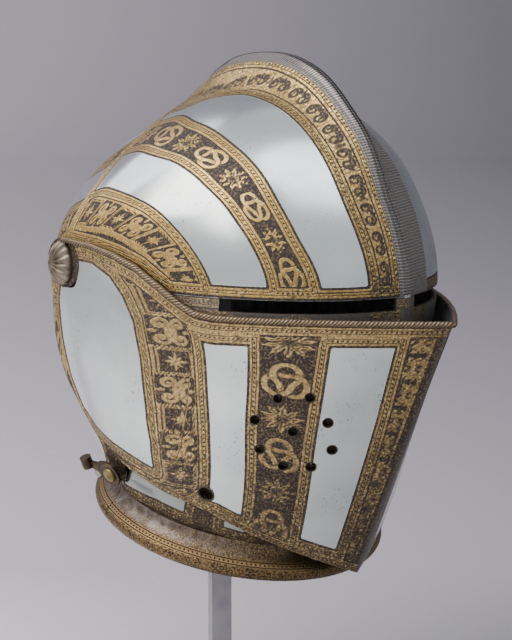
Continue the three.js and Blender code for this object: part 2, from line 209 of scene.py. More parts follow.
@dataclass(frozen=True)
class PlateShape:
    """Curved plate about the pivot axis, in mm and degrees.

    A point is given by its angle about the axis, 0 to the front and 90 up, and by its share of the half
    width, so that x is share times half width and the distance from the axis is a function of the two.

    Attributes:
        half_width: Half width at the pivots.
        outline: Corners of the plate's outline in the side view, as y and z.
        sweep: Angles between which the plate lies.
        middle: Angle that lies inside the outline in every column.
        lift: Height of the face above the curves of the dome or the cheeks.
        throat: True for a plate that ends in the neck roll.
    """

    half_width: float
    outline: tuple[tuple[float, float], ...]
    sweep: tuple[float, float]
    middle: float
    lift: float = 0.0
    throat: bool = False

    def distance(self, angle: Array, share: Array) -> Array:
        """Distance from the pivot axis.

        Args:
            angle: Angle about the axis in degrees.
            share: Share of the half width, from 0 to 1.

        Returns:
            Distance in mm.
        """
        raise NotImplementedError

    def inner(self) -> "PlateShape":
        """The same plate's inner face."""
        return type(self)(self.half_width - PLATE, self.outline, self.sweep, self.middle, self.lift - PLATE,
                          self.throat)

    def points(self, angle: Array, share: Array) -> Array:
        """Points for signed shares, x to the wearer's left.

        Args:
            angle: Angle in degrees.
            share: Signed share of each column.

        Returns:
            Points, with x, y and z in the last axis.
        """
        d = self.distance(angle, np.abs(share))
        a = np.radians(angle)
        return np.stack([share * self.half_width + 0 * d, -d * np.cos(a), d * np.sin(a)], -1)

    def depth(self, y: Array, z: Array) -> Array:
        """How far inside the plate's outline a point of the side view is."""
        inside = inside_polygon(y, z, self.outline)
        return np.minimum(inside, neck_place(y, z)[0] - NECK_TOP) if self.throat else inside

    def edges(self, share: Array) -> tuple[Array, Array]:
        """Least and greatest angle of the plate in each column of signed shares.

        Args:
            share: Signed share of each column.

        Returns:
            The least angles and the greatest ones.
        """
        angle = np.linspace(*self.sweep, 360)
        p = self.points(angle[:, None], share[None, :])
        depth = self.depth(p[..., 1], p[..., 2])
        start = int(np.argmin(np.abs(angle - self.middle)))
        found = []
        for rows in (np.arange(start, -1, -1), np.arange(start, len(angle))):
            outside = depth[rows] <= 0
            outside[-1] = True
            k = np.maximum(outside.argmax(axis=0), 1)
            last, beyond = angle[rows[k - 1]], angle[rows[k]]
            for _ in range(12):
                between = (last + beyond) / 2
                p = self.points(between, share)
                within = self.depth(p[..., 1], p[..., 2]) > 0
                last, beyond = np.where(within, between, last), np.where(within, beyond, between)
            found.append(last)
        return found[0], found[1]


class VisorShape(PlateShape):
    """Dome in front of the skull with a high comb on its middle line."""

    def distance(self, angle: Array, share: Array) -> Array:
        """Superellipse of the dome plus the comb's flank, which falls to nothing at its foot.

        Args:
            angle: Angle about the axis in degrees.
            share: Share of the half width, from 0 to 1.

        Returns:
            Distance in mm.
        """
        n = dome_fullness(angle)
        dome = BOSS + (dome_reach(angle) + self.lift - BOSS) * (1 - np.clip(share, 0, 1) ** n) ** (1 / n)
        top = max(2.2 + 0.9 * (self.lift - 4.8), 0.5)
        flank = np.clip(1 - np.maximum(share * self.half_width - top, 0) / COMB_REACH, 0, 1) ** 2.2
        return dome + np.maximum(visor_ridge(angle) - dome_reach(angle), 3) * flank


class SkullShape(PlateShape):
    """Dome of the head, narrowed below to pass inside the bevor, with a low comb."""

    def distance(self, angle: Array, share: Array) -> Array:
        """Distance where the half width falls to the share, plus the comb.

        Args:
            angle: Angle about the axis in degrees.
            share: Share of the half width, from 0 to 1.

        Returns:
            Distance in mm.
        """
        n = dome_fullness(angle)
        a = np.radians(angle)

        def width(distance: Array) -> Array:
            """Half width of the dome, and below of the neck inside the bevor.

            Args:
                distance: Distance from the pivot axis.

            Returns:
                Half width in mm.
            """
            part = np.clip((distance - BOSS) / (dome_reach(angle) + self.lift - BOSS), 0, 1)
            dome = self.half_width * (1 - part ** n) ** (1 / n)
            y, z = -distance * np.cos(a), distance * np.sin(a)
            inside = 3 * smoothstep(neck_place(y, z)[0], 30, 48) * smoothstep(distance, 20, 40)
            below = rounded_min(dome, bevor_width(y, z) - inside + self.lift, 3)
            return np.where(angle < 195, dome, below)

        target = share * self.half_width + 0 * angle
        flank = np.clip(1 - np.maximum(share * self.half_width - 0.4, 0) / COMB_REACH, 0, 1) ** 2.2
        return farthest(width, target, 230) + skull_ridge(angle) * (0.7 if self.lift < 0 else 1) * flank


class VentailShape(PlateShape):
    """Face plate with a straight keel."""

    def distance(self, angle: Array, share: Array) -> Array:
        """Power curve from the flat boss to the keel."""
        reach = ventail_reach(angle) + 1.25 * self.lift - BOSS
        return BOSS + reach * (1 - np.clip(share, 0, 1)) ** (1 / ventail_fullness(angle))


class BevorShape(PlateShape):
    """Chin plate under the ventail, drawn in to the throat.

    It is seen from a point inside the head: its angle is the elevation there, and its share is the turn to
    the side as a share of the turn at which the rear edge is seen.
    """

    def ray(self, angle: Array, share: Array) -> Array:
        """Direction from the point inside.

        Args:
            angle: Elevation in degrees.
            share: Signed share of the rear edge's turn.

        Returns:
            Unit directions.
        """
        line = np.array([*self.outline[8:], *self.outline[:2]])
        z = np.linspace(-150, line[-1, 1], 160)
        y = np.interp(z, line[:, 1], line[:, 0])
        x = bevor_width(y, z)
        seen = np.degrees(np.arctan2(z - INSIDE[1], np.hypot(x, y - INSIDE[0])))
        turn = share * (np.interp(angle, seen, np.arctan2(x, INSIDE[0] - y)) - 0.002)
        a = np.radians(angle) + 0 * turn
        return np.stack([np.cos(a) * np.sin(turn), -np.cos(a) * np.cos(turn), np.sin(a)], -1)

    def points(self, angle: Array, share: Array) -> Array:
        """Points where the rays leave the bevor's half width.

        Args:
            angle: Angle in degrees.
            share: Signed share of each column.

        Returns:
            Points, with x, y and z in the last axis.
        """
        ray = self.ray(angle, share)
        x, y, z = np.moveaxis(ray, -1, 0)
        far = farthest(
            lambda d: bevor_width(INSIDE[0] + d * y, INSIDE[1] + d * z) + self.lift - d * np.abs(x),
            0 * x, 260)
        return ray * far[..., None] + np.array([0, *INSIDE])


VISOR = VisorShape(98.8, (
    (14, 0), (10, 10), (0, 18.5), (-17, 94), (-24, 150), (-230, 150), (-230, -33), (-150, -30), (-92, -25),
    (-40, -12), (-10, -13), (0, -14), (10, -10)), (-75, 100), 30, 4.8)
VENTAIL = VentailShape(VENTAIL_WIDTH, (
    (14, 0), (10, 10), (0, 14.5), (-27, 13), (-44, 10), (-60, 5), (-75, -4), (-90, -14.5), (-97, -18),
    (-108, -19.5), (-230, -19.5), (-230, -225), (-138, -174), (-118, -157), (-89, -135), (-62, -125.5),
    (-39, -117), (-20, -105.5), (-10, -98), (-2, -88), (3.5, -68), (7, -50), (8, -36), (12, -10)),
    (-140, 100), -28)
BEVOR = BevorShape(96.4, (
    (14, 0), (10, 10), (0, 14), (-10, 10), (-26, -10), (-60, -25), (-230, -92), (-230, -225), (-14.3, -225),
    (-14.3, -107), (0, -84), (4, -60), (11, -12)), (-75, 75), -22, throat=True)
SKULL = SkullShape(94, (
    (-9, 8), (-150, 92), (-150, 160), (140, 160), (140, -190), (-13.7, -190), (-13.7, -106), (-9, -86),
    (-9, -16), (-13, -6), (-13, 3)), (20, 289), 120, throat=True)


@dataclass
class Grid:
    """Points of a plate's face in rows of rising angle and columns of rising share, in mm.

    Attributes:
        angle: Angle of each point in degrees.
        share: Signed share of each point.
        points: The points, with x, y and z in the last axis.
    """

    angle: Array
    share: Array
    points: Array

    @classmethod
    def lay(cls, shape: PlateShape, shares: Array, levels: Sequence[Array], counts: Sequence[int]) -> "Grid":
        """Lay a grid between lines across the plate.

        Args:
            shape: Face to follow.
            shares: Signed share of each column.
            levels: Angle of each line in every column, rising.
            counts: Rows between each line and the next.

        Returns:
            The grid, with a row on each line.
        """
        rows = [low + (high - low) * t for low, high, n in zip(levels, levels[1:], counts)
                for t in np.arange(n) / n]
        angle = np.stack([*rows, levels[-1]])
        share = np.broadcast_to(shares, angle.shape)
        return cls(angle, share, shape.points(angle, share))

    @property
    def across(self) -> Array:
        """Length along each row from the middle line, positive on both sides.

        Returns:
            Lengths in mm.
        """
        step = np.linalg.norm(np.diff(self.points, axis=1), axis=-1)
        total = np.concatenate([np.zeros((len(step), 1)), np.cumsum(step, axis=1)], axis=1)
        middle = int(np.argmin(np.abs(self.share[0])))
        return np.abs(total - total[:, middle:middle + 1])

    @property
    def along(self) -> Array:
        """Length along each column from the first row."""
        step = np.linalg.norm(np.diff(self.points, axis=0), axis=-1)
        return np.concatenate([np.zeros((1, step.shape[1])), np.cumsum(step, axis=0)], axis=0)

    def reach_of(self, boundary: Callable[[Array], Array]) -> Array:
        """Length across at which each row meets a line given as a share for every angle.

        Args:
            boundary: Function that gives the line's share for each angle.

        Returns:
            Length for each row, as a column.
        """
        half = self.share[0] >= -1e-9
        over = np.abs(self.share[:, half]) - boundary(self.angle[:, half])
        across = self.across[:, half]
        return np.array([np.interp(0, o, a) for o, a in zip(over, across)])[:, None]

    def along_at(self, reach: Array) -> Array:
        """Length along the grid on a line at the given length across in each row.

        Args:
            reach: Length across for each row, as a column.

        Returns:
            Length for each row, as a column.
        """
        half = self.share[0] >= -1e-9
        points = np.stack([[np.interp(r, a, p[:, k]) for k in range(3)] for r, a, p in zip(
            reach[:, 0], self.across[:, half], self.points[:, half])])
        step = np.linalg.norm(np.diff(points, axis=0), axis=1)
        return np.concatenate([[0], np.cumsum(step)])[:, None]


@dataclass
class Ornament:
    """Lengths in mm at each point, which the finish turns into etched and gilt bands.

    Attributes:
        edge: Distance outside the nearest plain panel, negative inside one.
        along: Place along the nearest panel's side, for the dots.
        figure: Distance outside the band's gilt figures, negative inside them.
        wear: Share of browning and wear, with painted shade on the far side and by the ventail's keel.
    """

    edge: Array
    along: Array
    figure: Array
    wear: Array

    def attributes(self) -> dict[str, Array]:
        """The lengths by the name of their mesh attribute."""
        return {"edge": self.edge, "along": self.along, "figure": self.figure, "wear": self.wear}


@dataclass(frozen=True)
class Panel:
    """Plain panel, known by how far each point lies past its sides, in mm and negative inside.

    Attributes:
        sides: Length past the nearer long side.
        ends: Length past the nearer short side.
    """

    sides: Array
    ends: Array

    @property
    def outside(self) -> Array:
        """Distance outside the panel with square corners."""
        return np.maximum(self.sides, self.ends)


def border(panels: Sequence[Panel], along: Array, across: Array) -> tuple[Array, Array]:
    """Distance outside the nearest panel, and the place along its side or end.

    Args:
        panels: The plain panels.
        along: Place along the columns.
        across: Place along the rows.

    Returns:
        The distance, negative inside a panel, and the place.
    """
    outside = np.stack([p.outside for p in panels])
    nearest = outside.argmin(axis=0)[None]
    at_side = np.take_along_axis(np.stack([p.sides >= p.ends for p in panels]), nearest, 0)[0]
    return outside.min(axis=0), np.where(at_side, along, across)


def strap(u: Array, v: Array, path: Array, half: Array) -> Array:
    """Distance outside a strap of half width `half` along a path of points.

    Args:
        u: First coordinate of each point.
        v: Second coordinate of each point.
        path: Points of the strap's middle line.
        half: Half width of each of its steps.

    Returns:
        Distance in mm, negative inside.
    """
    best = np.full(np.shape(u), 99.0)
    for (au, av), (bu, bv), w in zip(path, path[1:], half):
        eu, ev = bu - au, bv - av
        t = np.clip(((u - au) * eu + (v - av) * ev) / (eu * eu + ev * ev), 0, 1)
        best = np.minimum(best, np.hypot(u - au - t * eu, v - av - t * ev) - w)
    return best


def knot(u: Array, v: Array) -> Array:
    """Three-looped knot of a flat strap, cut beside each of its over crossings.

    Args:
        u: Place along the band from the figure's middle, mm.
        v: Place across the band, mm.

    Returns:
        Distance outside the gilt, negative inside it.
    """
    t = np.linspace(0, 2 * math.pi, 73)
    swing = 2 + np.cos(3 * t)
    path = np.stack([3.35 * swing * np.cos(2 * t), 2.3 * swing * np.sin(2 * t)], -1)
    body = strap(u, v, path, np.full(len(t), 1.05))
    for k in (6, 30, 54):
        du, dv = path[k + 1] - path[k - 1]
        size = math.hypot(du, dv)
        pu, pv = u - path[k, 0], v - path[k, 1]
        forward, aside = (pu * du + pv * dv) / size, (pv * du - pu * dv) / size
        cut = np.maximum(np.abs(np.abs(aside) - 1.4) - 0.3, np.abs(forward) - 2.1)
        body = np.maximum(body, -cut)
    return body


def burst(u: Array, v: Array) -> Array:
    """Flower of ten toothed leaves with a ringed heart.

    Args:
        u: Place along the band from the figure's middle, mm.
        v: Place across the band, mm.

    Returns:
        Distance outside the gilt, negative inside it.
    """
    rho, theta = np.hypot(u / 1.1, v), np.arctan2(v, u)
    leaf = 2.4 + 4.8 * np.abs(np.cos(5 * theta)) ** 0.9 + 0.6 * np.cos(30 * theta)
    vein = 0.3 - np.abs(np.sin(5 * theta)) * rho / 5
    cut = np.maximum(np.minimum(vein, 0.8 * leaf - rho), 0.3 - np.abs(rho - 1.6))
    return np.maximum(0.7 * (rho - leaf), cut)


def star(u: Array, v: Array) -> Array:
    """Eight-rayed star with four longer rays on a dark square, gilt and lined round the square.

    Args:
        u: Place along the band from the figure's middle, mm.
        v: Place across the band, mm.

    Returns:
        Distance outside the gilt, negative inside it.
    """
    rho, theta = np.hypot(u, v), np.arctan2(v, u)
    turn = theta * 4 / math.pi
    ray = 1 - 2 * np.abs(turn - np.round(turn))
    tip = np.where(np.round(turn) % 2 == 0, 5.6, 4.4)
    body = 0.5 * (rho - 1.5 - (tip - 1.5) * ray ** 1.6)
    square = np.maximum(np.abs(u), np.abs(v))
    frame_line = np.maximum(6.2 - square, 0.3 - np.abs(square - 7.2))
    return np.minimum(body, frame_line)


def volutes(u: Array, v: Array) -> Array:
    """Four scrolls turned in from a leafy heart, mirrored both ways.

    Args:
        u: Place along the band from the figure's middle, mm.
        v: Place across the band, mm.

    Returns:
        Distance outside the gilt, negative inside it.
    """
    t = np.linspace(0, 1, 22)
    radius, turn = 3.4 - 2.2 * t, -2.5 + 7.0 * t
    path = np.stack([4.1 + radius * np.cos(turn), 3.9 + radius * np.sin(turn)], -1)
    au, av = np.abs(u), np.abs(v)
    scroll = strap(au, av, path, 0.85 - 0.2 * t)
    eye = np.hypot(au - 4.0, av - 3.9) - 0.9
    bud = 0.7 * (au * 0.8 + av * 0.55 - 1.6)
    leaf = np.hypot(au * 1.7, av - 6.6) - 1.5
    return np.minimum(np.minimum(scroll, eye), np.minimum(np.minimum(bud, leaf), 8.3 - av))


def spirals(u: Array, v: Array) -> Array:
    """Pair of facing spirals on one stem with a leaf between pairs, drawn dark on gilt.

    Args:
        u: Place along the band from the figure's middle, mm.
        v: Place across the band, mm.

    Returns:
        Distance outside the gilt, negative inside it.
    """
    t = np.linspace(0, 1, 26)
    radius, turn = 3.5 - 2.6 * t, -2.6 + 9.4 * t
    path = np.stack([3.5 + radius * np.cos(turn), 0.2 + radius * np.sin(turn)], -1)
    au = np.abs(u)
    scroll = strap(au, v, path, 0.72 - 0.1 * t)
    stem = strap(au, v, np.array([[0.6, -1.8], [0.0, -4.4]]), np.array([0.5]))
    blade = strap(au, v, np.array([[8.6, -4.2], [7.8, -1.0], [8.6, 3.8]]), np.array([0.22, 0.22]))
    return -np.minimum(np.minimum(scroll, stem), blade)


def repeat(u: Array, v: Array, figures: Sequence[Callable[[Array, Array], Array]], pitch: float) -> Array:
    """Row of figures taken in turn along a band.

    Args:
        u: Place along the band.
        v: Place across it, from its middle.
        figures: Figures in order.
        pitch: Distance from one figure to the next.

    Returns:
        Distance outside the nearest figure.
    """
    u, v = np.broadcast_arrays(u, v)
    index = np.round(u / pitch)
    local = u - index * pitch
    result = np.full(np.shape(u), 9.0)
    for k, figure in enumerate(figures):
        chosen = (index % len(figures) == k) & (np.abs(v) < 12)
        result[chosen] = figure(local[chosen], v[chosen])
    return result


class Bands:
    """Lines between the plain panels and the bands of the dome, as shares for each angle."""

    comb = staticmethod(curve(
        [-10, 1, 16, 43, 53, 62, 70, 90, 130, 200],
        [0.23, 0.235, 0.262, 0.225, 0.225, 0.29, 0.38, 0.36, 0.25, 0.22]))
    panel_top = staticmethod(curve(
        [-10, 1, 11, 23, 37, 53, 68, 90, 130, 200],
        [0.43, 0.465, 0.519, 0.543, 0.544, 0.512, 0.44, 0.43, 0.47, 0.5]))
    knot = staticmethod(curve(
        [-10, 1, 9, 18, 30, 47, 72, 90, 130],
        [0.65, 0.667, 0.691, 0.72, 0.746, 0.747, 0.69, 0.67, 0.66]))
    star = staticmethod(curve(
        [-10, 0, 11, 26, 43, 73, 130],
        [0.8, 0.822, 0.852, 0.884, 0.895, 0.86, 0.85]))


def dome_ornament(grid: Grid, rim: float, first: Array, last: Array, wear: Array) -> Ornament:
    """Bands that run fore and aft over the dome.

    Args:
        grid: Points of the plate.
        rim: Half width of the comb's plain rim, mm.
        first: Length along each column at which the ornament begins.
        last: Length along each column at which it ends.
        wear: Share of wear at each point, with any painted shade.

    Returns:
        The scrolls of the comb, the knots of the middle band and the stars of the lowest one.
    """
    across, along = grid.across, grid.along
    comb, top, below, star_line = (
        grid.reach_of(line) for line in (Bands.comb, Bands.panel_top, Bands.knot, Bands.star))
    ends = np.maximum(first + 7.4 - along, along - last + 6.8)
    x = np.abs(grid.points[..., 0])
    step = np.gradient(x, axis=1)
    slope = np.gradient(across, axis=1) / np.where(step == 0, 1, step)
    none = np.full(x.shape, NOTHING)
    rope = -inside_polygon(grid.points[..., 1], grid.points[..., 2], VENTAIL.outline) + 2.4
    panels = [Panel(np.maximum(comb - across, across - top), ends),
              Panel(np.maximum(below - across, across - star_line), np.maximum(ends, BORDER - rope)),
              Panel((x - rim) * np.abs(slope) + 2.2, none),
              Panel(rope, none),
              Panel(none, np.minimum(along - first, last - along))]
    edge, place = border(panels, along, across)
    rim_reach = grid.reach_of(lambda angle: rim / x.max() + 0 * angle)
    middle = (rim_reach + comb) / 2 - 1.1
    scale = np.clip(4.0 / np.maximum((comb - rim_reach) / 2 - BORDER + 1.1, 3), 0.75, 1.3)
    figure = np.full(x.shape, 9.0)
    on_comb = across < comb
    scrolls = repeat(grid.along_at(middle), (across - middle) * scale, [spirals], 17.2)
    figure[on_comb] = scrolls[on_comb]
    half = np.maximum((below - top) / 2 - BORDER, 3)
    middle = (top + below) / 2
    knots = repeat(grid.along_at(middle) + 9, (across - middle) * 7.2 / half, [knot, burst], 21.5)
    on_knots = (across >= comb) & (across < below)
    figure[on_knots] = knots[on_knots]
    below_panel = across - star_line
    scale = np.clip(15.6 / np.maximum(below_panel + rope - 2 * BORDER, 4), 0.9, 2)
    along_stars = grid.along_at(star_line + 12) * 1.15 + 5
    stars = repeat(along_stars, (below_panel - rope) / 2 * scale, [star, volutes], 17)
    on_stars = across >= below
    figure[on_stars] = stars[on_stars]
    return Ornament(edge, place, figure, wear)


class VentailBands:
    """Lines between the panels and the bands of the ventail, as shares for each angle."""

    keel = staticmethod(curve([-50, -28, -10], [0.153, 0.172, 0.196]))
    nose = staticmethod(curve([-50, -29, -12], [0.333, 0.402, 0.43]))
    cheek = staticmethod(curve([-51.5, -33, -15], [0.613, 0.68, 0.708]))
    temple = staticmethod(curve([-51, -42, -30, -18, -13], [0.745, 0.78, 0.811, 0.833, 0.865]))
    side_panel = (
        (-58, -27), (-50, -14), (-40, -4), (-26, 2), (-10, 2.5), (1, -7), (4, -22), (3.4, -45), (0.5, -68),
        (-5, -85), (-14, -95), (-36, -103), (-62, -111.5), (-65.5, -95), (-65.5, -75), (-63, -48))


def ventail_ornament(grid: Grid) -> Ornament:
    """Upright bands of the ventail round its plain panels.

    Args:
        grid: Points of the ventail, in rows that rise from its lower edge.

    Returns:
        Scrolls by the keel, knots between the front panels and stars before the side panel.
    """
    across, along = grid.across, grid.along
    y, z = grid.points[..., 1], grid.points[..., 2]
    keel, nose, cheek, temple = (grid.reach_of(b) for b in (
        VentailBands.keel, VentailBands.nose, VentailBands.cheek, VentailBands.temple))
    length = along[-1:]
    ends = np.maximum(11.5 - along, along - length + 16.5)
    side = -inside_polygon(y, z, VentailBands.side_panel)
    none = np.full(y.shape, NOTHING)
    panels = [Panel(np.maximum(keel - across, across - nose), ends),
              Panel(np.maximum(cheek - across, across - temple), ends),
              Panel(side, none),
              Panel(none, np.minimum(along + 1.4, length - along - 2.6))]
    edge, place = border(panels, along, across)
    at_side = (side <= panels[1].outside) & (side <= panels[0].outside)
    turn = np.degrees(np.arctan2(z + 55, y + 30))
    place = np.where(at_side & (y > -56), turn * 0.95, place)
    figure = np.full(y.shape, 9.0)
    on_keel = across < keel
    scrolls = repeat(grid.along_at(keel / 2), (across - keel / 2) * 8 / np.maximum(keel / 2 - BORDER, 4),
                     [volutes], 17)
    figure[on_keel] = scrolls[on_keel]
    half = np.maximum((cheek - nose) / 2 - BORDER, 4)
    middle = (cheek + nose) / 2
    knots = repeat(grid.along_at(middle) - 12, (across - middle) * 7.4 / half, [knot, burst], 22.5)
    on_knots = (across > nose) & (across < cheek)
    figure[on_knots] = knots[on_knots]
    to_side, to_front = np.maximum(side, 0), np.maximum(panels[1].sides, 0)
    width = np.maximum(to_side + to_front - 2 * BORDER, 6)
    stars = repeat(z + 47, (to_side - to_front) * 0.5 * np.minimum(17.0 / width, 1.6), [star, volutes], 16.5)
    on_stars = (across > temple) & (y < -40)
    figure[on_stars] = stars[on_stars]
    wear = 0.3 + 0.3 * smoothstep(-z, 60, 150)
    # Painted shade on the band by the keel, which faces away from the lights.
    wear = wear + 0.2 * smoothstep(-across, -keel - 6, 0 * keel) * on_keel
    return Ornament(edge, place, figure, wear)


def neck_ornament(grid: Grid, panels_at: Sequence[tuple[float, float]]) -> Ornament:
    """Bevor with short plain panels above the neck roll.

    Args:
        grid: Points of the bevor, in rows that rise from the throat.
        panels_at: Angle from the front at the middle of each panel and half its width, degrees.

    Returns:
        Scrolls between the panels, worn brown.
    """
    x, y, z = np.moveaxis(grid.points, -1, 0)
    height, place = neck_place(y, z)
    round_neck = np.degrees(np.arctan2(np.abs(x), -place))
    reach = np.radians(round_neck) * np.hypot(x, place)
    panels = [Panel((np.abs(round_neck - at) - half) * 1.4, np.abs(height - 54) - 26)
              for at, half in panels_at]
    edge, along = border(panels, height, reach)
    figure = repeat(reach, height - 50, [volutes, burst], 19)
    return Ornament(edge, along, figure, np.full(x.shape, 0.7))


@dataclass
class MeshBuilder:
    """Collects faces from several grids and strips into one mesh.

    Attributes:
        vertices: Points of each grid, mm from the pivot axis.
        faces: Corners of each grid's quads.
        slots: Material slot of each grid's quads.
        values: Attribute values of each grid's points by name.
        count: Points so far.
    """

    vertices: list[Array] = field(default_factory=list)
    faces: list[Array] = field(default_factory=list)
    slots: list[Array] = field(default_factory=list)
    values: list[dict[str, Array]] = field(default_factory=list)
    count: int = 0

    def grid(self, points: Array, slot: int = 0, values: dict[str, Array] | None = None,
             keep: Array | None = None, flip: bool = False) -> None:
        """Add the quads of a grid of points.

        Args:
            points: Points in rows and columns, mm from the pivot axis.
            slot: Material slot.
            values: Attribute values at each point.
            keep: True for each quad to keep.
            flip: Turn the faces over.
        """
        rows, columns = points.shape[:2]
        index = np.arange(rows * columns).reshape(rows, columns) + self.count
        quads = np.stack([index[:-1, :-1], index[:-1, 1:], index[1:, 1:], index[1:, :-1]], -1)
        quads = quads[keep] if keep is not None else quads.reshape(-1, 4)
        self.faces.append(quads[:, ::-1] if flip else quads)
        self.vertices.append(points.reshape(-1, 3))
        self.slots.append(np.full(len(quads), slot))
        self.values.append({key: np.broadcast_to(value, (rows, columns)).ravel()
                            for key, value in (values or {}).items()})
        self.count += rows * columns

    def strip(self, first: Array, second: Array, slot: int = 0,
              values: dict[str, Array] | None = None) -> None:
        """Add the quads between two lines of points."""
        spread = {k: np.stack([v, v]) for k, v in (values or {}).items()}
        self.grid(np.stack([first, second]), slot, spread)

    def make(self, name: str, materials: Sequence[bpy.types.Material]) -> bpy.types.Object:
        """Make the object, in metres in the row frame.

        Args:
            name: Name of the object.
            materials: Material of each slot.

        Returns:
            The object, with smooth faces and one float attribute for each kind of value.
        """
        mesh = bpy.data.meshes.new(name)
        vertices = (np.concatenate(self.vertices) + PIVOT) / 1000
        faces = np.concatenate(self.faces).astype(np.int32)
        mesh.vertices.add(len(vertices))
        mesh.vertices.foreach_set("co", vertices.astype(np.float32).ravel())
        mesh.loops.add(faces.size)
        mesh.loops.foreach_set("vertex_index", faces.ravel())
        mesh.polygons.add(len(faces))
        mesh.polygons.foreach_set("loop_start", np.arange(0, faces.size, 4, dtype=np.int32))
        mesh.polygons.foreach_set("material_index", np.concatenate(self.slots).astype(np.int32))
        mesh.polygons.foreach_set("use_smooth", np.ones(len(faces), bool))
        for key in sorted({k for v in self.values for k in v}):
            data = [v.get(key, np.zeros(len(p))) for v, p in zip(self.values, self.vertices)]
            attribute = mesh.attributes.new(key, "FLOAT", "POINT")
            attribute.data.foreach_set("value", np.concatenate(data).astype(np.float32))
        for material in materials:
            mesh.materials.append(material)
        mesh.update(calc_edges=True)
        mesh.validate()
        if not any(self.values):
            joined = bmesh.new()
            joined.from_mesh(mesh)
            bmesh.ops.remove_doubles(joined, verts=joined.verts, dist=1e-7)
            joined.to_mesh(mesh)
            joined.free()
        obj = bpy.data.objects.new(name, mesh)
        bpy.context.collection.objects.link(obj)
        return obj


def place_piece(obj: bpy.types.Object, body: str, slot: str, *nodes: str) -> None:
    """Let a piece ride on its body and stand for CAD nodes.

    Args:
        obj: The piece.
        body: Body that carries it.
        slot: Not used.
        *nodes: CAD nodes that it replaces.
    """
    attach(obj, body)
    if nodes:
        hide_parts(*nodes)
    LOG.info("%s rides on %s", obj.name, body)


def rgb(code: str) -> tuple[float, float, float, float]:
    """Linear colour of an sRGB hex code.

    Args:
        code: Six hex digits, such as "8d6f3c".

    Returns:
        Red, green, blue and an alpha of 1.
    """
    srgb = [int(code[i:i + 2], 16) / 255 for i in (0, 2, 4)]
    linear = [c / 12.92 if c <= 0.04045 else ((c + 0.055) / 1.055) ** 2.4 for c in srgb]
    return (*linear, 1.0)


class Graph:
    """Node tree of one material."""

    def __init__(self, name: str) -> None:
        """Start a material without nodes.

        Args:
            name: Name of the material.
        """
        self.material = bpy.data.materials.new(name)
        self.material.use_nodes = True
        self.tree = self.material.node_tree
        self.tree.nodes.clear()

    def add(self, kind: str, *values: object, out: int | str = 0,
            **settings: object) -> bpy.types.NodeSocket | bpy.types.Node:
        """Add a node with its settings and links.

        Args:
            kind: Type of node without its "ShaderNode" prefix.
            *values: Values or sockets for the first inputs in order, or one dict of them by input.
            out: Output to return.
            **settings: Properties of the node.

        Returns:
            The chosen output socket, or the node where it has none.
        """
        node = self.tree.nodes.new("ShaderNode" + kind)
        for key, value in settings.items():
            setattr(node, key, value)
        inputs = values[0] if values and isinstance(values[0], dict) else dict(enumerate(values))
        for key, value in inputs.items():
            if isinstance(value, bpy.types.NodeSocket):
                self.tree.links.new(value, node.inputs[key])
            else:
                node.inputs[key].default_value = value
        return node.outputs[out] if len(node.outputs) else node


COLOUR = {"out": 2, "data_type": "RGBA"}  # settings of a Mix node for colours, with inputs 0, 6 and 7


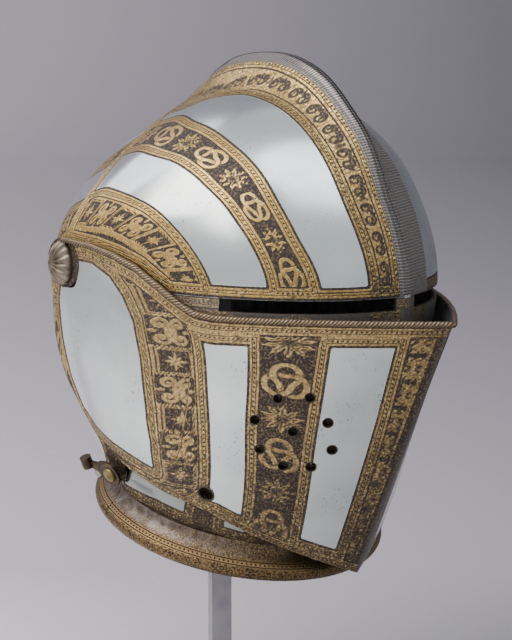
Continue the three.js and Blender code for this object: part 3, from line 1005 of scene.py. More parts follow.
@dataclass(frozen=True)
class EtchedFinish:
    """Polished plate with etched bands: gilt lines, dots and figures on a blackened ground.

    Attributes:
        name: Name of the material.
        steel: Colour of the polished panels.
        gilt: Colour of the gilding.
        ground: Colour of the etched ground.
        brown: Colour of worn and tarnished gilding.
        stain: Colour of the panels where they are dulled.
        stipple: Share of gilt specks left on the ground.
        pitch: Distance between the dots of a border, mm.
        painted_glint: Colour of the painted highlight specks on the gilding.
        dust: Colour of the palest specks of the ground.
        pits: Colour of the rust pits in the panels.
        rim: Colours of hatched bare steel, also standing in for a painted grey reflection on far flanks and a
            painted highlight on the keel, between the cuts and in them.
        hatching: Distance between the cuts of the hatching, mm.
    """

    name: str
    steel: str = "dadfde"
    gilt: str = "c5a15d"
    ground: str = "302929"
    brown: str = "5f4f3f"
    stain: str = "c9d3d4"
    stipple: float = 0.12
    pitch: float = 2.7
    painted_glint: str = "eedb9c"
    dust: str = "5c4e48"
    pits: str = "4c4a49"
    rim: tuple[str, str] = ("85817f", "565250")
    hatching: float = 1.7

    def build(self) -> bpy.types.Material:
        """Make the material from the plates' lengths.

        Returns:
            The material.
        """
        g = Graph(self.name)
        place = g.add("TexCoord", out="Object")
        # Lumps in mm. The ground's specks are drawn coarser than real ones, so that the picture shows them.
        fine, broad, patch, tremor, painted_glint, pitting, grain = (
            g.add("TexNoise", {"Vector": place, "Scale": 1000 / size, "Detail": detail})
            for size, detail in ((1.2, 1), (26, 3), (4.5, 4), (2.4, 3), (1.4, 1), (1.6, 1), (0.7, 2)))
        edge, along, figure, wear, hatch = (g.add("Attribute", out="Fac", attribute_name=name)
                                            for name in ("edge", "along", "figure", "wear", "hatch"))
        # The hand that drew the lines strays by up to 0.2 mm.
        stray = g.add("Math", tremor, 0.4, -0.2, operation="MULTIPLY_ADD")
        edge = g.add("Math", edge, stray, operation="ADD")
        figure = g.add("Math", figure, stray, operation="ADD")
        # Dark and gilt lines across a border, as shares of its width.
        lines = g.add("ValToRGB", g.add("Math", edge, BORDER, operation="DIVIDE"))
        ramp = lines.node.color_ramp
        ramp.interpolation = "LINEAR"
        stops = ((0.0, 0), (0.18, 0), (0.20, 1), (0.33, 1), (0.35, 0), (0.39, 0), (0.41, 1), (0.63, 1),
                 (0.65, 0), (0.69, 0), (0.71, 1), (0.86, 1), (0.89, 0))
        for spare in list(ramp.elements)[1:]:
            ramp.elements.remove(spare)
        ramp.elements[0].position = stops[0][0]
        ramp.elements[0].color = (stops[0][1],) * 3 + (1,)
        for position, value in stops[1:]:
            ramp.elements.new(position).color = (value,) * 3 + (1,)
        # Dark dots along the middle line of the border.
        around = g.add("Math", along, self.pitch / 2, operation="PINGPONG")
        around = g.add("Math", self.pitch / 2, around, operation="SUBTRACT")
        aside = g.add("Math", edge, 0.52 * BORDER, operation="SUBTRACT")
        spot = g.add("Math", aside, aside, operation="MULTIPLY")
        spot = g.add("Math", around, around, spot, operation="MULTIPLY_ADD")
        spot = g.add("Math", spot, operation="SQRT")
        rows = g.add("Math", lines, g.add("MapRange", spot, 0.5, 0.8), operation="MULTIPLY")
        leaf = g.add("MapRange", figure, -0.18, 0.18, 1, 0)
        in_field = g.add("MapRange", edge, BORDER - 0.1, BORDER + 0.1)
        relief = g.add("Mix", {0: in_field, 2: rows, 3: leaf})
        # Gilding rubbed off in patches and by wear, which also paints shade where the sides face away from
        # the lights; specks of it left on the ground.
        rub = g.add("Math", patch, 0.5, operation="MULTIPLY")
        rub = g.add("Math", wear, 0.62, rub, operation="MULTIPLY_ADD")
        sound = g.add("Math", fine, 0.42, operation="ADD")
        sound = g.add("Math", rub, -0.72, sound, operation="MULTIPLY_ADD")
        sound = g.add("MapRange", sound, 0.34, 0.56, 0.2, 1)
        gilded = g.add("Math", relief, sound, operation="MULTIPLY")
        specks = g.add("MapRange", fine, 0.5, 0.62, 0, self.stipple)
        gilded = g.add("Math", gilded, specks, operation="MAXIMUM")
        gold = g.add("MapRange", rub, 0.25, 0.95)
        gold = g.add("Mix", {0: gold, 6: rgb(self.gilt), 7: rgb(self.brown)}, **COLOUR)
        # Painted highlight: bright specks mixed into the gilding at random.
        shine = g.add("MapRange", painted_glint, 0.5, 0.68, 0, 0.6)
        gold = g.add("Mix", {0: shine, 6: gold, 7: rgb(self.painted_glint)}, **COLOUR)
        dark = g.add("MapRange", fine, 0.5, 0.75, 0, 0.4)
        dark = g.add("Mix", {0: dark, 6: rgb(self.ground), 7: rgb(self.dust)}, **COLOUR)
        band = g.add("Mix", {0: gilded, 6: dark, 7: gold}, **COLOUR)
        # Polished panels, dulled in broad patches and pitted in some of them.
        steel = g.add("MapRange", broad, 0.3, 0.7)
        steel = g.add("Mix", {0: steel, 6: rgb(self.steel), 7: rgb(self.stain)}, **COLOUR)
        pit = g.add("MapRange", broad, 0.5, 0.66, 0, 0.8)
        pit = g.add("Math", g.add("MapRange", pitting, 0.66, 0.73), pit, operation="MULTIPLY")
        steel = g.add("Mix", {0: pit, 6: steel, 7: rgb(self.pits)}, **COLOUR)
        plain = g.add("MapRange", edge, -0.1, 0.12, 1, 0)
        colour = g.add("Mix", {0: plain, 6: band, 7: steel}, **COLOUR)
        # Hatched bare steel on the comb's rim; on the keel a painted highlight line, and on the far flanks a
        # painted grey reflection.
        cut = g.add("Math", patch, 1.6, along, operation="MULTIPLY_ADD")
        cut = g.add("Math", cut, self.hatching, operation="DIVIDE")
        cut = g.add("MapRange", g.add("Math", cut, operation="FRACT"), 0.3, 0.55)
        cut = g.add("Math", cut, hatch, operation="MULTIPLY")
        filed = g.add("Mix", {0: cut, 6: rgb(self.rim[0]), 7: rgb(self.rim[1])}, **COLOUR)
        colour = g.add("Mix", {0: hatch, 6: colour, 7: filed}, **COLOUR)
        rough = g.add("MapRange", gilded, 0, 1, 0.62, 0.34)
        rough = g.add("Mix", {0: plain, 2: rough, 3: g.add("MapRange", broad, 0.3, 0.7, 0.19, 0.27)})
        metal = g.add("MapRange", gilded, 0, 1, 0.45, 0.95)
        metal = g.add("Mix", {0: plain, 2: metal, 3: 1.0})
        height = g.add("Math", gilded, plain, operation="MAXIMUM")
        height = g.add("Math", grain, 0.25, height, operation="MULTIPLY_ADD")
        height = g.add("Math", height, g.add("MapRange", plain, 0, 1, 1, 0.02), operation="MULTIPLY")
        height = g.add("Math", height, cut, operation="SUBTRACT")
        bump = g.add("Bump", {"Height": height, "Distance": 0.00022, "Strength": 0.8})
        g.add("OutputMaterial", g.add("BsdfPrincipled", {
            "Base Color": colour, "Roughness": rough, "Metallic": metal, "Normal": bump}))
        return g.material


@dataclass(frozen=True)
class MetalFinish:
    """Plain metal or paint with patches and a little grain.

    Attributes:
        name: Name of the material.
        light: Main colour.
        dark: Colour of the patches.
        roughness: Roughness of the clean metal.
        metallic: Share of metal against paint or oxide.
    """

    name: str
    light: str
    dark: str
    roughness: float
    metallic: float = 1.0

    def build(self) -> bpy.types.Material:
        """Make the material.

        Returns:
            The material.
        """
        g = Graph(self.name)
        place = g.add("TexCoord", out="Object")
        patch, grain = (g.add("TexNoise", {"Vector": place, "Scale": 1000 / size, "Detail": detail})
                        for size, detail in ((9, 4), (0.8, 2)))
        colour = g.add("MapRange", patch, 0.35, 0.7)
        colour = g.add("Mix", {0: colour, 6: rgb(self.light), 7: rgb(self.dark)}, **COLOUR)
        rough = g.add("MapRange", patch, 0.3, 0.7, self.roughness, self.roughness + 0.14)
        bump = g.add("Bump", {"Height": grain, "Distance": 0.00008, "Strength": 0.6})
        g.add("OutputMaterial", g.add("BsdfPrincipled", {
            "Base Color": colour, "Roughness": rough, "Metallic": self.metallic, "Normal": bump}))
        return g.material


@dataclass(frozen=True)
class RopedFinish:
    """Gilt bead with dark cuts slanting across it.

    Attributes:
        name: Name of the material.
        high: Colour on the crests.
        low: Colour in the cuts.
        pitch: Distance between cuts, mm.
        lean: How far a cut runs along for each mm across it.
        worn: Colour of the crests where the gilding is worn.
    """

    name: str
    high: str
    low: str
    pitch: float
    lean: float
    worn: str = "6e5843"

    def build(self) -> bpy.types.Material:
        """Make the material from the lengths along and across the bead.

        Returns:
            The material.
        """
        g = Graph(self.name)
        place = g.add("TexCoord", out="Object")
        patch, tremor = (g.add("TexNoise", {"Vector": place, "Scale": 1000 / size, "Detail": detail})
                         for size, detail in ((5, 4), (3, 2)))
        along, edge = (g.add("Attribute", out="Fac", attribute_name=name) for name in ("along", "edge"))
        cut = g.add("Math", edge, self.lean, along, operation="MULTIPLY_ADD")
        cut = g.add("Math", tremor, 0.9, cut, operation="MULTIPLY_ADD")
        crest = g.add("Math", cut, self.pitch / 2, operation="PINGPONG")
        crest = g.add("MapRange", crest, 0.2 * self.pitch, 0.42 * self.pitch, 1, 0)
        crest = g.add("Math", crest, g.add("MapRange", patch, 0.28, 0.5, 0.35, 1), operation="MULTIPLY")
        gold = g.add("MapRange", patch, 0.4, 0.75)
        gold = g.add("Mix", {0: gold, 6: rgb(self.high), 7: rgb(self.worn)}, **COLOUR)
        colour = g.add("Mix", {0: crest, 6: rgb(self.low), 7: gold}, **COLOUR)
        rough = g.add("MapRange", crest, 0, 1, 0.6, 0.36)
        bump = g.add("Bump", {"Height": crest, "Distance": 0.0003, "Strength": 0.8})
        g.add("OutputMaterial", g.add("BsdfPrincipled", {
            "Base Color": colour, "Roughness": rough, "Metallic": 0.9, "Normal": bump}))
        return g.material


@dataclass(frozen=True)
class RolledFinish:
    """Neck roll: bare cove above, two lines with dots on the shoulder, worn gilding on brown below.

    Attributes:
        name: Name of the material.
        gilt: Colour of the gilding.
        brown: Colour of the browned iron.
        cove: Colours of the rubbed cove, light and dark.
        shoulder: Length down the section at the row of dots, mm.
        pitch: Distance between dots, mm.
        dull: Colour of the gilding where it is dulled.
        rubbed: Lengths from the front between which the cove comes to be rubbed bare, mm.
    """

    name: str
    gilt: str = "93794f"
    brown: str = "352b25"
    cove: tuple[str, str] = ("857d78", "564c46")
    shoulder: float = 13.2
    pitch: float = 2.7
    dull: str = "8a7050"
    rubbed: tuple[float, float] = (50.0, 125.0)

    def build(self) -> bpy.types.Material:
        """Make the material from the lengths round and down the roll.

        Returns:
            The material.
        """
        g = Graph(self.name)
        place = g.add("TexCoord", out="Object")
        patch, speck, smear = (g.add("TexNoise", {"Vector": place, "Scale": 1000 / size, "Detail": detail})
                               for size, detail in ((6, 4), (1.0, 1), (5, 3)))
        along, down = (g.add("Attribute", out="Fac", attribute_name=name) for name in ("along", "edge"))
        speck = g.add("Math", patch, 0.3, speck, operation="MULTIPLY_ADD")
        speck = g.add("MapRange", speck, 0.5, 0.86)
        aside = g.add("Math", down, self.shoulder, operation="SUBTRACT")
        aside = g.add("Math", aside, operation="ABSOLUTE")
        around = g.add("Math", along, self.pitch / 2, operation="PINGPONG")
        around = g.add("Math", self.pitch / 2, around, operation="SUBTRACT")
        spot = g.add("Math", aside, aside, operation="MULTIPLY")
        spot = g.add("Math", around, around, spot, operation="MULTIPLY_ADD")
        spot = g.add("Math", spot, operation="SQRT")
        line = g.add("Math", g.add("Math", aside, 1.6, operation="SUBTRACT"), operation="ABSOLUTE")
        line = g.add("MapRange", line, 0.15, 0.4)
        rows = g.add("Math", line, g.add("MapRange", spot, 0.4, 0.75), operation="MULTIPLY")
        gilded = g.add("Math", speck, g.add("MapRange", aside, 2.2, 2.6, 0.75, 0), operation="MAXIMUM")
        gilded = g.add("Math", gilded, rows, operation="MULTIPLY")
        gold = g.add("MapRange", patch, 0.4, 0.7)
        gold = g.add("Mix", {0: gold, 6: rgb(self.gilt), 7: rgb(self.dull)}, **COLOUR)
        colour = g.add("Mix", {0: gilded, 6: rgb(self.brown), 7: gold}, **COLOUR)
        bare = g.add("MapRange", smear, 0.35, 0.7)
        bare = g.add("Mix", {0: bare, 6: rgb(self.cove[1]), 7: rgb(self.cove[0])}, **COLOUR)
        rubbed = g.add("MapRange", g.add("Math", along, operation="ABSOLUTE"), *self.rubbed, 0.15, 1)
        for part in (g.add("MapRange", down, 9.0, 11.0, 1, 0), g.add("MapRange", patch, 0.3, 0.5, 0.5, 0.9)):
            rubbed = g.add("Math", rubbed, part, operation="MULTIPLY")
        colour = g.add("Mix", {0: rubbed, 6: colour, 7: bare}, **COLOUR)
        rough = g.add("MapRange", gilded, 0, 1, 0.5, 0.36)
        height = g.add("Math", speck, 0.4, rows, operation="MULTIPLY_ADD")
        bump = g.add("Bump", {"Height": height, "Distance": 0.00025, "Strength": 0.8})
        g.add("OutputMaterial", g.add("BsdfPrincipled", {
            "Base Color": colour, "Roughness": rough, "Metallic": 0.85, "Normal": bump}))
        return g.material


def mirrored(positive: Array) -> Array:
    """Signed shares, rising, from those of one side beginning with 0."""
    return np.concatenate([-positive[:0:-1], positive])


def snapped(values: Array, marks: Iterable[float]) -> Array:
    """Rising values with the nearest one moved onto each mark.

    Args:
        values: Rising values.
        marks: Values to be hit.

    Returns:
        The values, moved.
    """
    result = values.copy()
    for mark in marks:
        result[np.argmin(np.abs(result - mark))] = mark
    return result


@dataclass
class PlatePiece:
    """One plate of the helmet: ornamented outer face, plain inner face and edges.

    Attributes:
        name: Name of the piece and of the CAD node that it stands for.
        body: Body that it rides on.
        shape: Outer face.
        rows: Rows of the outer face.
        columns: Columns on each side of the outer face.
    """

    name: str
    body: str
    shape: PlateShape
    rows: int
    columns: int

    def shares(self, count: int) -> Array:
        """Signed shares of the columns, closer together towards the pivots."""
        return mirrored(np.sin(np.linspace(0, math.asin(LAST_SHARE), count)))

    def lay(self, shape: PlateShape, rows: int, columns: int) -> Grid:
        """Grid of one face between the plate's edges."""
        shares = self.shares(columns)
        return Grid.lay(shape, shares, self.shape.edges(shares), [rows])

    def ornament(self, grid: Grid) -> dict[str, Array]:
        """Attribute values of the outer face."""
        raise NotImplementedError

    def keep(self, grid: Grid) -> Array | None:
        """Quads of a face that are kept, or None for all."""
        return None

    def finish_mesh(self, mesh: MeshBuilder, grid: Grid) -> None:
        """Add what else belongs to the plate."""

    def build(self, materials: Sequence[bpy.types.Material]) -> bpy.types.Object:
        """Make the plate.

        Args:
            materials: Etched, inner, and any further finishes in the order of their slots.

        Returns:
            The object, riding on its body in place of the CAD node.
        """
        outer = self.lay(self.shape, self.rows, self.columns)
        inner = self.lay(self.shape.inner(), max(self.rows // 5, 24), max(self.columns // 4, 36))
        values = self.ornament(outer)
        mesh = MeshBuilder()
        mesh.grid(outer.points, 0, values, self.keep(outer))
        mesh.grid(inner.points, 1, None, self.keep(inner), flip=True)
        back = self.shape.inner().points(outer.angle[[0, -1]], outer.share[[0, -1]])
        for k, row in enumerate((0, -1)):
            mesh.strip(outer.points[row], back[k], 2)
        self.finish_mesh(mesh, outer)
        obj = mesh.make(self.name + "_plate", materials)
        place_piece(obj, self.body, self.name, self.name)
        return obj


@dataclass
class Visor(PlatePiece):
    """Visor with two sights, a comb with a hatched rim, and bands over the brow.

    Attributes:
        sight: Heights of the lower and the upper edge of the sights.
        sight_ends: Distances of their ends from the middle line.
        sight_rows: Rows below the sights and rows across them.
        rim: Half width of the comb's rim.
        comb: Half width over which the columns are finer.
    """

    sight: tuple[float, float] = (-17.0, -9.7)
    sight_ends: tuple[float, float] = (7.0, 79.0)
    sight_rows: tuple[int, int] = (5, 4)
    rim: float = 4.6
    comb: float = 26.0

    def shares(self, count: int) -> Array:
        """Finer columns on the comb, with columns on the ends of the sights.

        Args:
            count: Columns on each side.

        Returns:
            The shares, rising.
        """
        width = self.shape.half_width
        comb = np.linspace(0, self.comb, count // 5, endpoint=False)
        turns = np.linspace(math.asin(self.comb / width), math.asin(LAST_SHARE), count - len(comb))
        rest = width * np.sin(turns)
        return mirrored(snapped(np.concatenate([comb, rest]), self.sight_ends) / width)

    def level(self, shares: Array, height: float) -> Array:
        """Angle at which each column reaches a height above the pivots.

        Args:
            shares: Signed share of each column.
            height: The height, mm.

        Returns:
            Angles in degrees.
        """
        angle = np.zeros(shares.shape)
        for _ in range(14):
            sine = height / self.shape.distance(angle, np.abs(shares))
            angle = np.degrees(np.arcsin(np.clip(sine, -0.7, 0)))
        return angle

    def lay(self, shape: PlateShape, rows: int, columns: int) -> Grid:
        """Grid with rows on the edges of the sights.

        Args:
            shape: Face to follow.
            rows: Rows above the sights.
            columns: Columns on each side.

        Returns:
            The grid.
        """
        shares = self.shares(columns)
        low, high = self.shape.edges(shares)
        bottom = np.maximum(self.level(shares, self.sight[0]), low + 0.5)
        top = np.maximum(self.level(shares, self.sight[1]), bottom + 0.5)
        return Grid.lay(shape, shares, [low, bottom, top, high], [*self.sight_rows, rows])

    def keep(self, grid: Grid) -> Array:
        """All but the two sights.

        Args:
            grid: Points of a face.

        Returns:
            True for each quad that is kept.
        """
        first, count = self.sight_rows
        x = np.abs(grid.points[..., 0])
        middle = (x[:-1, :-1] + x[1:, 1:]) / 2
        rows = np.arange(len(middle))[:, None]
        scale = x.max() / self.shape.half_width
        open_here = (middle > self.sight_ends[0] * scale) & (middle < self.sight_ends[1] * scale)
        return ~(open_here & (rows >= first) & (rows < first + count))

    def ornament(self, grid: Grid) -> dict[str, Array]:
        """Bands over the dome, with worn lines beside and below the sights.

        Args:
            grid: Points of the outer face.

        Returns:
            Attribute values at each point.
        """
        along = grid.along
        first = sum(self.sight_rows)
        brow = along[first:first + 1]
        on_comb = grid.across < grid.reach_of(Bands.comb)
        # More wear lower down; the last term is painted shade on the far side (positive shares), away from
        # the lights.
        wear = 0.12 + 0.25 * smoothstep(-grid.points[..., 2], -20, 10) + 0.5 * smoothstep(grid.share, 0, 0.08)
        wear = np.clip(wear + 0.28 * on_comb, 0, 1)
        values = dome_ornament(grid, self.rim, brow, along[-1:] + 1.6, wear).attributes()
        x = grid.points[..., 0]
        # Painted grey reflection on the comb's far flank, drawn with the hatched bare steel.
        far_flank_sheen = 0.75 * (x > 0) * (values["edge"] > 0) * on_comb * smoothstep(-grid.angle, -58, -42)
        rim = smoothstep(self.rim + 0.6 - np.abs(x), 0, 0.6)
        values["hatch"] = np.maximum(rim, far_flank_sheen) * (along > brow)
        under = along < brow
        rubbed = {"edge": 1.0 + brow - along, "along": grid.across, "wear": 0.6, "hatch": 0.35}
        for key, value in rubbed.items():
            values[key] = np.where(under, value, values[key])
        return values

    def finish_mesh(self, mesh: MeshBuilder, grid: Grid) -> None:
        """Edges of the sights.

        Args:
            mesh: Mesh to add to.
            grid: Points of the outer face.
        """
        inner = self.shape.inner().points(grid.angle, grid.share)
        first, count = self.sight_rows
        low, high = self.sight_ends
        for side in (-1, 1):
            x = grid.points[0, :, 0] * side
            span = np.flatnonzero((x >= low - 1e-3) & (x <= high + 1e-3))
            for row in (first, first + count):
                mesh.strip(grid.points[row, span], inner[row, span], 2)
            for column in (span[0], span[-1]):
                rows = slice(first, first + count + 1)
                mesh.strip(grid.points[rows, column], inner[rows, column], 2)


@dataclass
class Skull(PlatePiece):
    """Back of the helmet with the visor's bands carried on to the nape.

    Attributes:
        rim: Half width of the comb's rim.
    """

    rim: float = 2.4

    def ornament(self, grid: Grid) -> dict[str, Array]:
        """Bands over the dome down to the neck.

        Args:
            grid: Points of the outer face.

        Returns:
            Attribute values at each point.
        """
        along = grid.along
        wear = 0.2 + 0.5 * smoothstep(-grid.points[..., 2], 60, 140)
        inside = self.shape.depth(grid.points[..., 1], grid.points[..., 2])
        last = np.where(grid.angle > 150, along + 1.05 * inside, along[-1:]) + 1.6
        values = dome_ornament(grid, self.rim, 0 * along[:1], last, wear).attributes()
        values["hatch"] = smoothstep(self.rim + 0.6 - np.abs(grid.points[..., 0]), 0, 0.6)
        return values


@dataclass
class Bevor(PlatePiece):
    """Chin plate, in a darker finish of painted shade and wear, with short plain panels above the neck roll.

    Attributes:
        panels: Angle from the front at the middle of each panel and half its width, degrees.
    """

    panels: tuple[tuple[float, float], ...] = ((15.5, 6.5), (46.0, 4.5), (86.0, 16.0))

    def shares(self, count: int) -> Array:
        """Columns evenly turned from the chin to the rear edge."""
        return mirrored(np.linspace(0, 1, count))

    def finish_mesh(self, mesh: MeshBuilder, grid: Grid) -> None:
        """Rear edges.

        Args:
            mesh: Mesh to add to.
            grid: Points of the outer face.
        """
        inner = self.shape.inner().points(grid.angle, grid.share)
        for column in (0, -1):
            mesh.strip(grid.points[:, column], inner[:, column], 2)

    def ornament(self, grid: Grid) -> dict[str, Array]:
        """Scrolls and panels round the neck."""
        return neck_ornament(grid, self.panels).attributes()


@dataclass
class Ventail(PlatePiece):
    """Keeled face plate with drilled breaths, a catch hole and a roped upper edge.

    Attributes:
        breaths: Centres of the breaths as y and z.
        breath_radius: Radius of a breath.
        catch: Centre of the catch hole as y and z.
        catch_radius: Radius of the catch hole.
        burr: Rings of a burred rim as shares of the hole's radius and heights above the plate.
        flats: Radii of the rings of the flat round a pivot.
        rope_radius: Radius of the rope.
        rope_pitch: Length of the rope from one strand to the next.
    """

    breaths: tuple[tuple[float, float], ...] = (
        (-134.5, -65), (-147.7, -64.1), (-123, -77.7), (-152, -78.8), (-137.6, -84.3), (-122.8, -94.7),
        (-150.2, -95.1), (-130.3, -104.7), (-140.5, -105.4))
    breath_radius: float = 2.7
    catch: tuple[float, float] = (-93.5, -123.3)
    catch_radius: float = 4.4
    burr: tuple[tuple[float, float], ...] = (
        (1.2, 0.02), (1.12, 0.2), (1.04, 0.24), (0.97, 0.1), (0.95, -0.5), (0.95, -2.4))
    flats: tuple[float, ...] = (SHANK, 7.0, 14.4)
    rope_radius: float = 1.8
    rope_pitch: float = 2.2

    def shares(self, count: int) -> Array:
        """Columns evenly spaced from the keel to the boss."""
        return mirrored(1 - np.linspace(1, 0.002, count) ** 2.6)

    def holes(self) -> list[tuple[Array, float]]:
        """Centre on the outer face and radius of each hole of the wearer's right.

        Returns:
            Centres and radii.
        """
        found = []
        for y, z in (*self.breaths, self.catch):
            x = -float(ventail_width(np.hypot(y, z), np.degrees(np.arctan2(z, -y))))
            radius = self.catch_radius if (y, z) == self.catch else self.breath_radius
            found.append((np.array([x, y, z]), radius))
        return found

    def lay(self, shape: PlateShape, rows: int, columns: int) -> Grid:
        """Grid with the points beside each hole moved onto its rim.

        Args:
            shape: Face to follow.
            rows: Rows of the face.
            columns: Columns on each side.

        Returns:
            The grid.
        """
        grid = super().lay(shape, rows, columns)
        if shape is self.shape:
            for centre, radius in self.holes():
                offset = grid.points - centre
                far = np.linalg.norm(offset, axis=-1)
                near = np.abs(far - radius) < 0.85
                grid.points[near] = centre + offset[near] * (radius / far[near])[:, None]
        return grid

    def keep(self, grid: Grid) -> Array:
        """All quads whose middle is clear of the holes.

        Args:
            grid: Points of a face.

        Returns:
            True for each quad that is kept.
        """
        p = grid.points
        middle = (p[:-1, :-1] + p[1:, :-1] + p[1:, 1:] + p[:-1, 1:]) / 4
        clear = np.ones(middle.shape[:2], bool)
        spare = 2 if len(p) < self.rows else 0  # the inner face is coarser
        for centre, radius in self.holes():
            clear &= np.linalg.norm(middle - centre, axis=-1) > radius * 0.97 + spare
        return clear

    def ornament(self, grid: Grid) -> dict[str, Array]:
        """Upright bands round the plain panels, measured on the plate before it is drilled.

        Args:
            grid: Points of the outer face.

        Returns:
            Attribute values at each point.
        """
        values = ventail_ornament(super().lay(self.shape, self.rows, self.columns)).attributes()
        x = grid.points[..., 0]
        # Painted highlight line along the keel's ridge, partly rubbed steel, and a painted grey reflection on
        # the far side beside it.
        keel = 0.8 * smoothstep(1.4 - np.abs(x), 0, 0.7)
        far_side_sheen = 0.5 * smoothstep(x, 0, 2) * (x < 40)
        values["hatch"] = np.maximum(keel, far_side_sheen) * (values["edge"] > 0)
        return values

    def finish_mesh(self, mesh: MeshBuilder, grid: Grid) -> None:
        """Walls and burred rims of the holes, the flats round the pivots and the roped edge.

        Args:
            mesh: Mesh to add to.
            grid: Points of the outer face.
        """
        turn = np.linspace(0, 2 * math.pi, 29)
        for centre, radius in self.holes():
            gap = np.linalg.norm(grid.points - centre, axis=-1)
            row, column = np.unravel_index(gap.argmin(), gap.shape)
            row, column = min(max(row, 6), len(gap) - 7), min(max(column, 6), gap.shape[1] - 7)
            up = grid.points[row + 6, column] - grid.points[row - 6, column]
            side = grid.points[row, column + 6] - grid.points[row, column - 6]
            up = up / np.linalg.norm(up)
            out = np.cross(side, up)
            out = -np.sign(out[0]) * out / np.linalg.norm(out)
            side = np.cross(up, out)
            ring = np.cos(turn)[:, None] * up + np.sin(turn)[:, None] * side
            mesh.grid(np.stack([centre + radius * share * ring + height * out
                                for share, height in self.burr]), 2)
        worn = {"edge": 3.0, "figure": 5.0, "wear": 0.6, "along": 0.0}
        for side in (-1, 1):
            x = np.full(len(turn), side * self.shape.half_width)
            disc = [np.stack([x, radius * np.cos(turn), radius * np.sin(turn)], -1) for radius in self.flats]
            mesh.grid(np.stack(disc), 0, worn, flip=side > 0)
        self.rope(mesh, grid)

    def rope(self, mesh: MeshBuilder, grid: Grid) -> None:
        """Bead along the upper edge: a tube whose radius swells in slanting strands.

        Args:
            mesh: Mesh to add to.
            grid: Points of the outer face.
        """
        path, below = grid.points[-1], grid.points[-4]
        tangent = np.gradient(path, axis=0)
        tangent /= np.linalg.norm(tangent, axis=1)[:, None]
        up = path - below
        up -= tangent * np.sum(up * tangent, axis=1)[:, None]
        up /= np.linalg.norm(up, axis=1)[:, None]
        out = np.cross(tangent, up)
        length = np.concatenate([[0], np.cumsum(np.linalg.norm(np.diff(path, axis=0), axis=1))])
        turn = np.linspace(0, 2 * math.pi, 15)[:, None]
        strand = np.cos(2 * math.pi * length / self.rope_pitch + turn)
        size = self.rope_radius * (1 + 0.05 * strand)[..., None]
        ring = np.cos(turn)[..., None] * up + np.sin(turn)[..., None] * out
        tube = path - 1.2 * up + 0.3 * out + size * ring
        mesh.grid(tube, 3, {"along": length[None, :], "edge": turn * self.rope_radius})


def neck_point(radius: Array, turn: Array, height: Array) -> Array:
    """Point round the neck's axis.

    Args:
        radius: Distance from the axis, mm.
        turn: Angle from the front towards the wearer's left, radians.
        height: Height above the underside, mm.

    Returns:
        Points, with x, y and z in the last axis.
    """
    along = -radius * np.cos(turn)
    y = along * NECK_COS - height * NECK_SIN + NECK_FOOT[0]
    z = along * NECK_SIN + height * NECK_COS + NECK_FOOT[1]
    return np.stack([radius * np.sin(turn), y, z], -1)


def softened(corners: Array, rounds: int = 2) -> Array:
    """Open line with its corners cut at quarter points, again and again.

    Args:
        corners: Points of the line.
        rounds: How often it is cut.

    Returns:
        Points of the softened line.
    """
    for _ in range(rounds):
        a, b = corners[:-1], corners[1:]
        inner = np.stack([0.75 * a + 0.25 * b, 0.25 * a + 0.75 * b], 1).reshape(-1, 2)
        corners = np.concatenate([corners[:1], inner, corners[-1:]])
    return corners


@dataclass
class NeckRoll:
    """Half of the hollow roll at the neck, turned about the neck's axis.

    Attributes:
        name: Name of the piece.
        body: Body that it rides on.
        slot: Material slot.
        front: True for the chin half.
        section: Radius and height of the outer face, then of the inner one.
        gap: Distance of the half's ends from the plane in which the halves meet.
        measure: Radius at which lengths round the roll are measured.
    """

    name: str
    body: str
    slot: str
    front: bool
    section: tuple[tuple[float, float], ...] = (
        (77, 21), (77.6, 16.6), (80.6, 12.6), (85.8, 9), (87, 5.4), (85.6, 2), (83, 0.4), (82.5, 2.2),
        (85.2, 5.6), (84, 8.2), (78.8, 11.8), (75.7, 16.9), (75.2, 21))
    gap: float = 0.3
    measure: float = 86.0

    def build(self, material: bpy.types.Material) -> bpy.types.Object:
        """Make the half roll, ended on the plane where it meets the other half.

        Args:
            material: Finish of the roll.

        Returns:
            The object, riding on its body.
        """
        profile = softened(np.array(self.section))
        radius, height = profile[:, :1], profile[:, 1:]
        split = NECK_JOINT - NECK_FOOT[0] + (-self.gap if self.front else self.gap)
        limit = np.arccos(-(split + height * NECK_SIN) / (NECK_COS * radius))
        share = np.linspace(-1, 1, 201)[None, :]
        turn = limit * share if self.front else math.pi + (math.pi - limit) * share
        length = np.concatenate([[0], np.cumsum(np.linalg.norm(np.diff(profile, axis=0), axis=1))])[:, None]
        values = {"along": turn * self.measure, "edge": length + 0 * turn}
        points = neck_point(radius + 0 * turn, turn, height + 0 * turn)
        half = len(profile) // 2
        outer, inner = points[:half], points[half:][::-1]
        mesh = MeshBuilder()
        mesh.grid(points, 0, values, flip=True)
        mesh.strip(points[0], points[-1], 0, {key: value[0] for key, value in values.items()})
        for first, second, column in ((outer, inner, -1), (inner, outer, 0)):
            at_end = {key: value[:half, column] for key, value in values.items()}
            mesh.strip(first[:, column], second[:, column], 0, at_end)
        obj = mesh.make(self.name, [material])
        place_piece(obj, self.body, self.slot)
        return obj


def neck_frame(y: float, z: float) -> Array:
    """Columns forward, up and out on the wearer's right side of the bevor.

    Args:
        y: Place from front to back from the pivot axis, mm.
        z: Height above the pivot axis, mm.

    Returns:
        Matrix of 3 by 3.
    """
    step = 0.5
    slope_y = float(bevor_width(y + step, z) - bevor_width(y - step, z)) / (2 * step)
    slope_z = float(bevor_width(y, z + step) - bevor_width(y, z - step)) / (2 * step)
    out = np.array([-1, -slope_y, -slope_z]) / math.sqrt(1 + slope_y ** 2 + slope_z ** 2)
    forward = np.array([0.0, -1.0, 0.0]) + out[1] * out
    forward /= np.linalg.norm(forward)
    return np.stack([forward, np.cross(out, forward), out], 1)


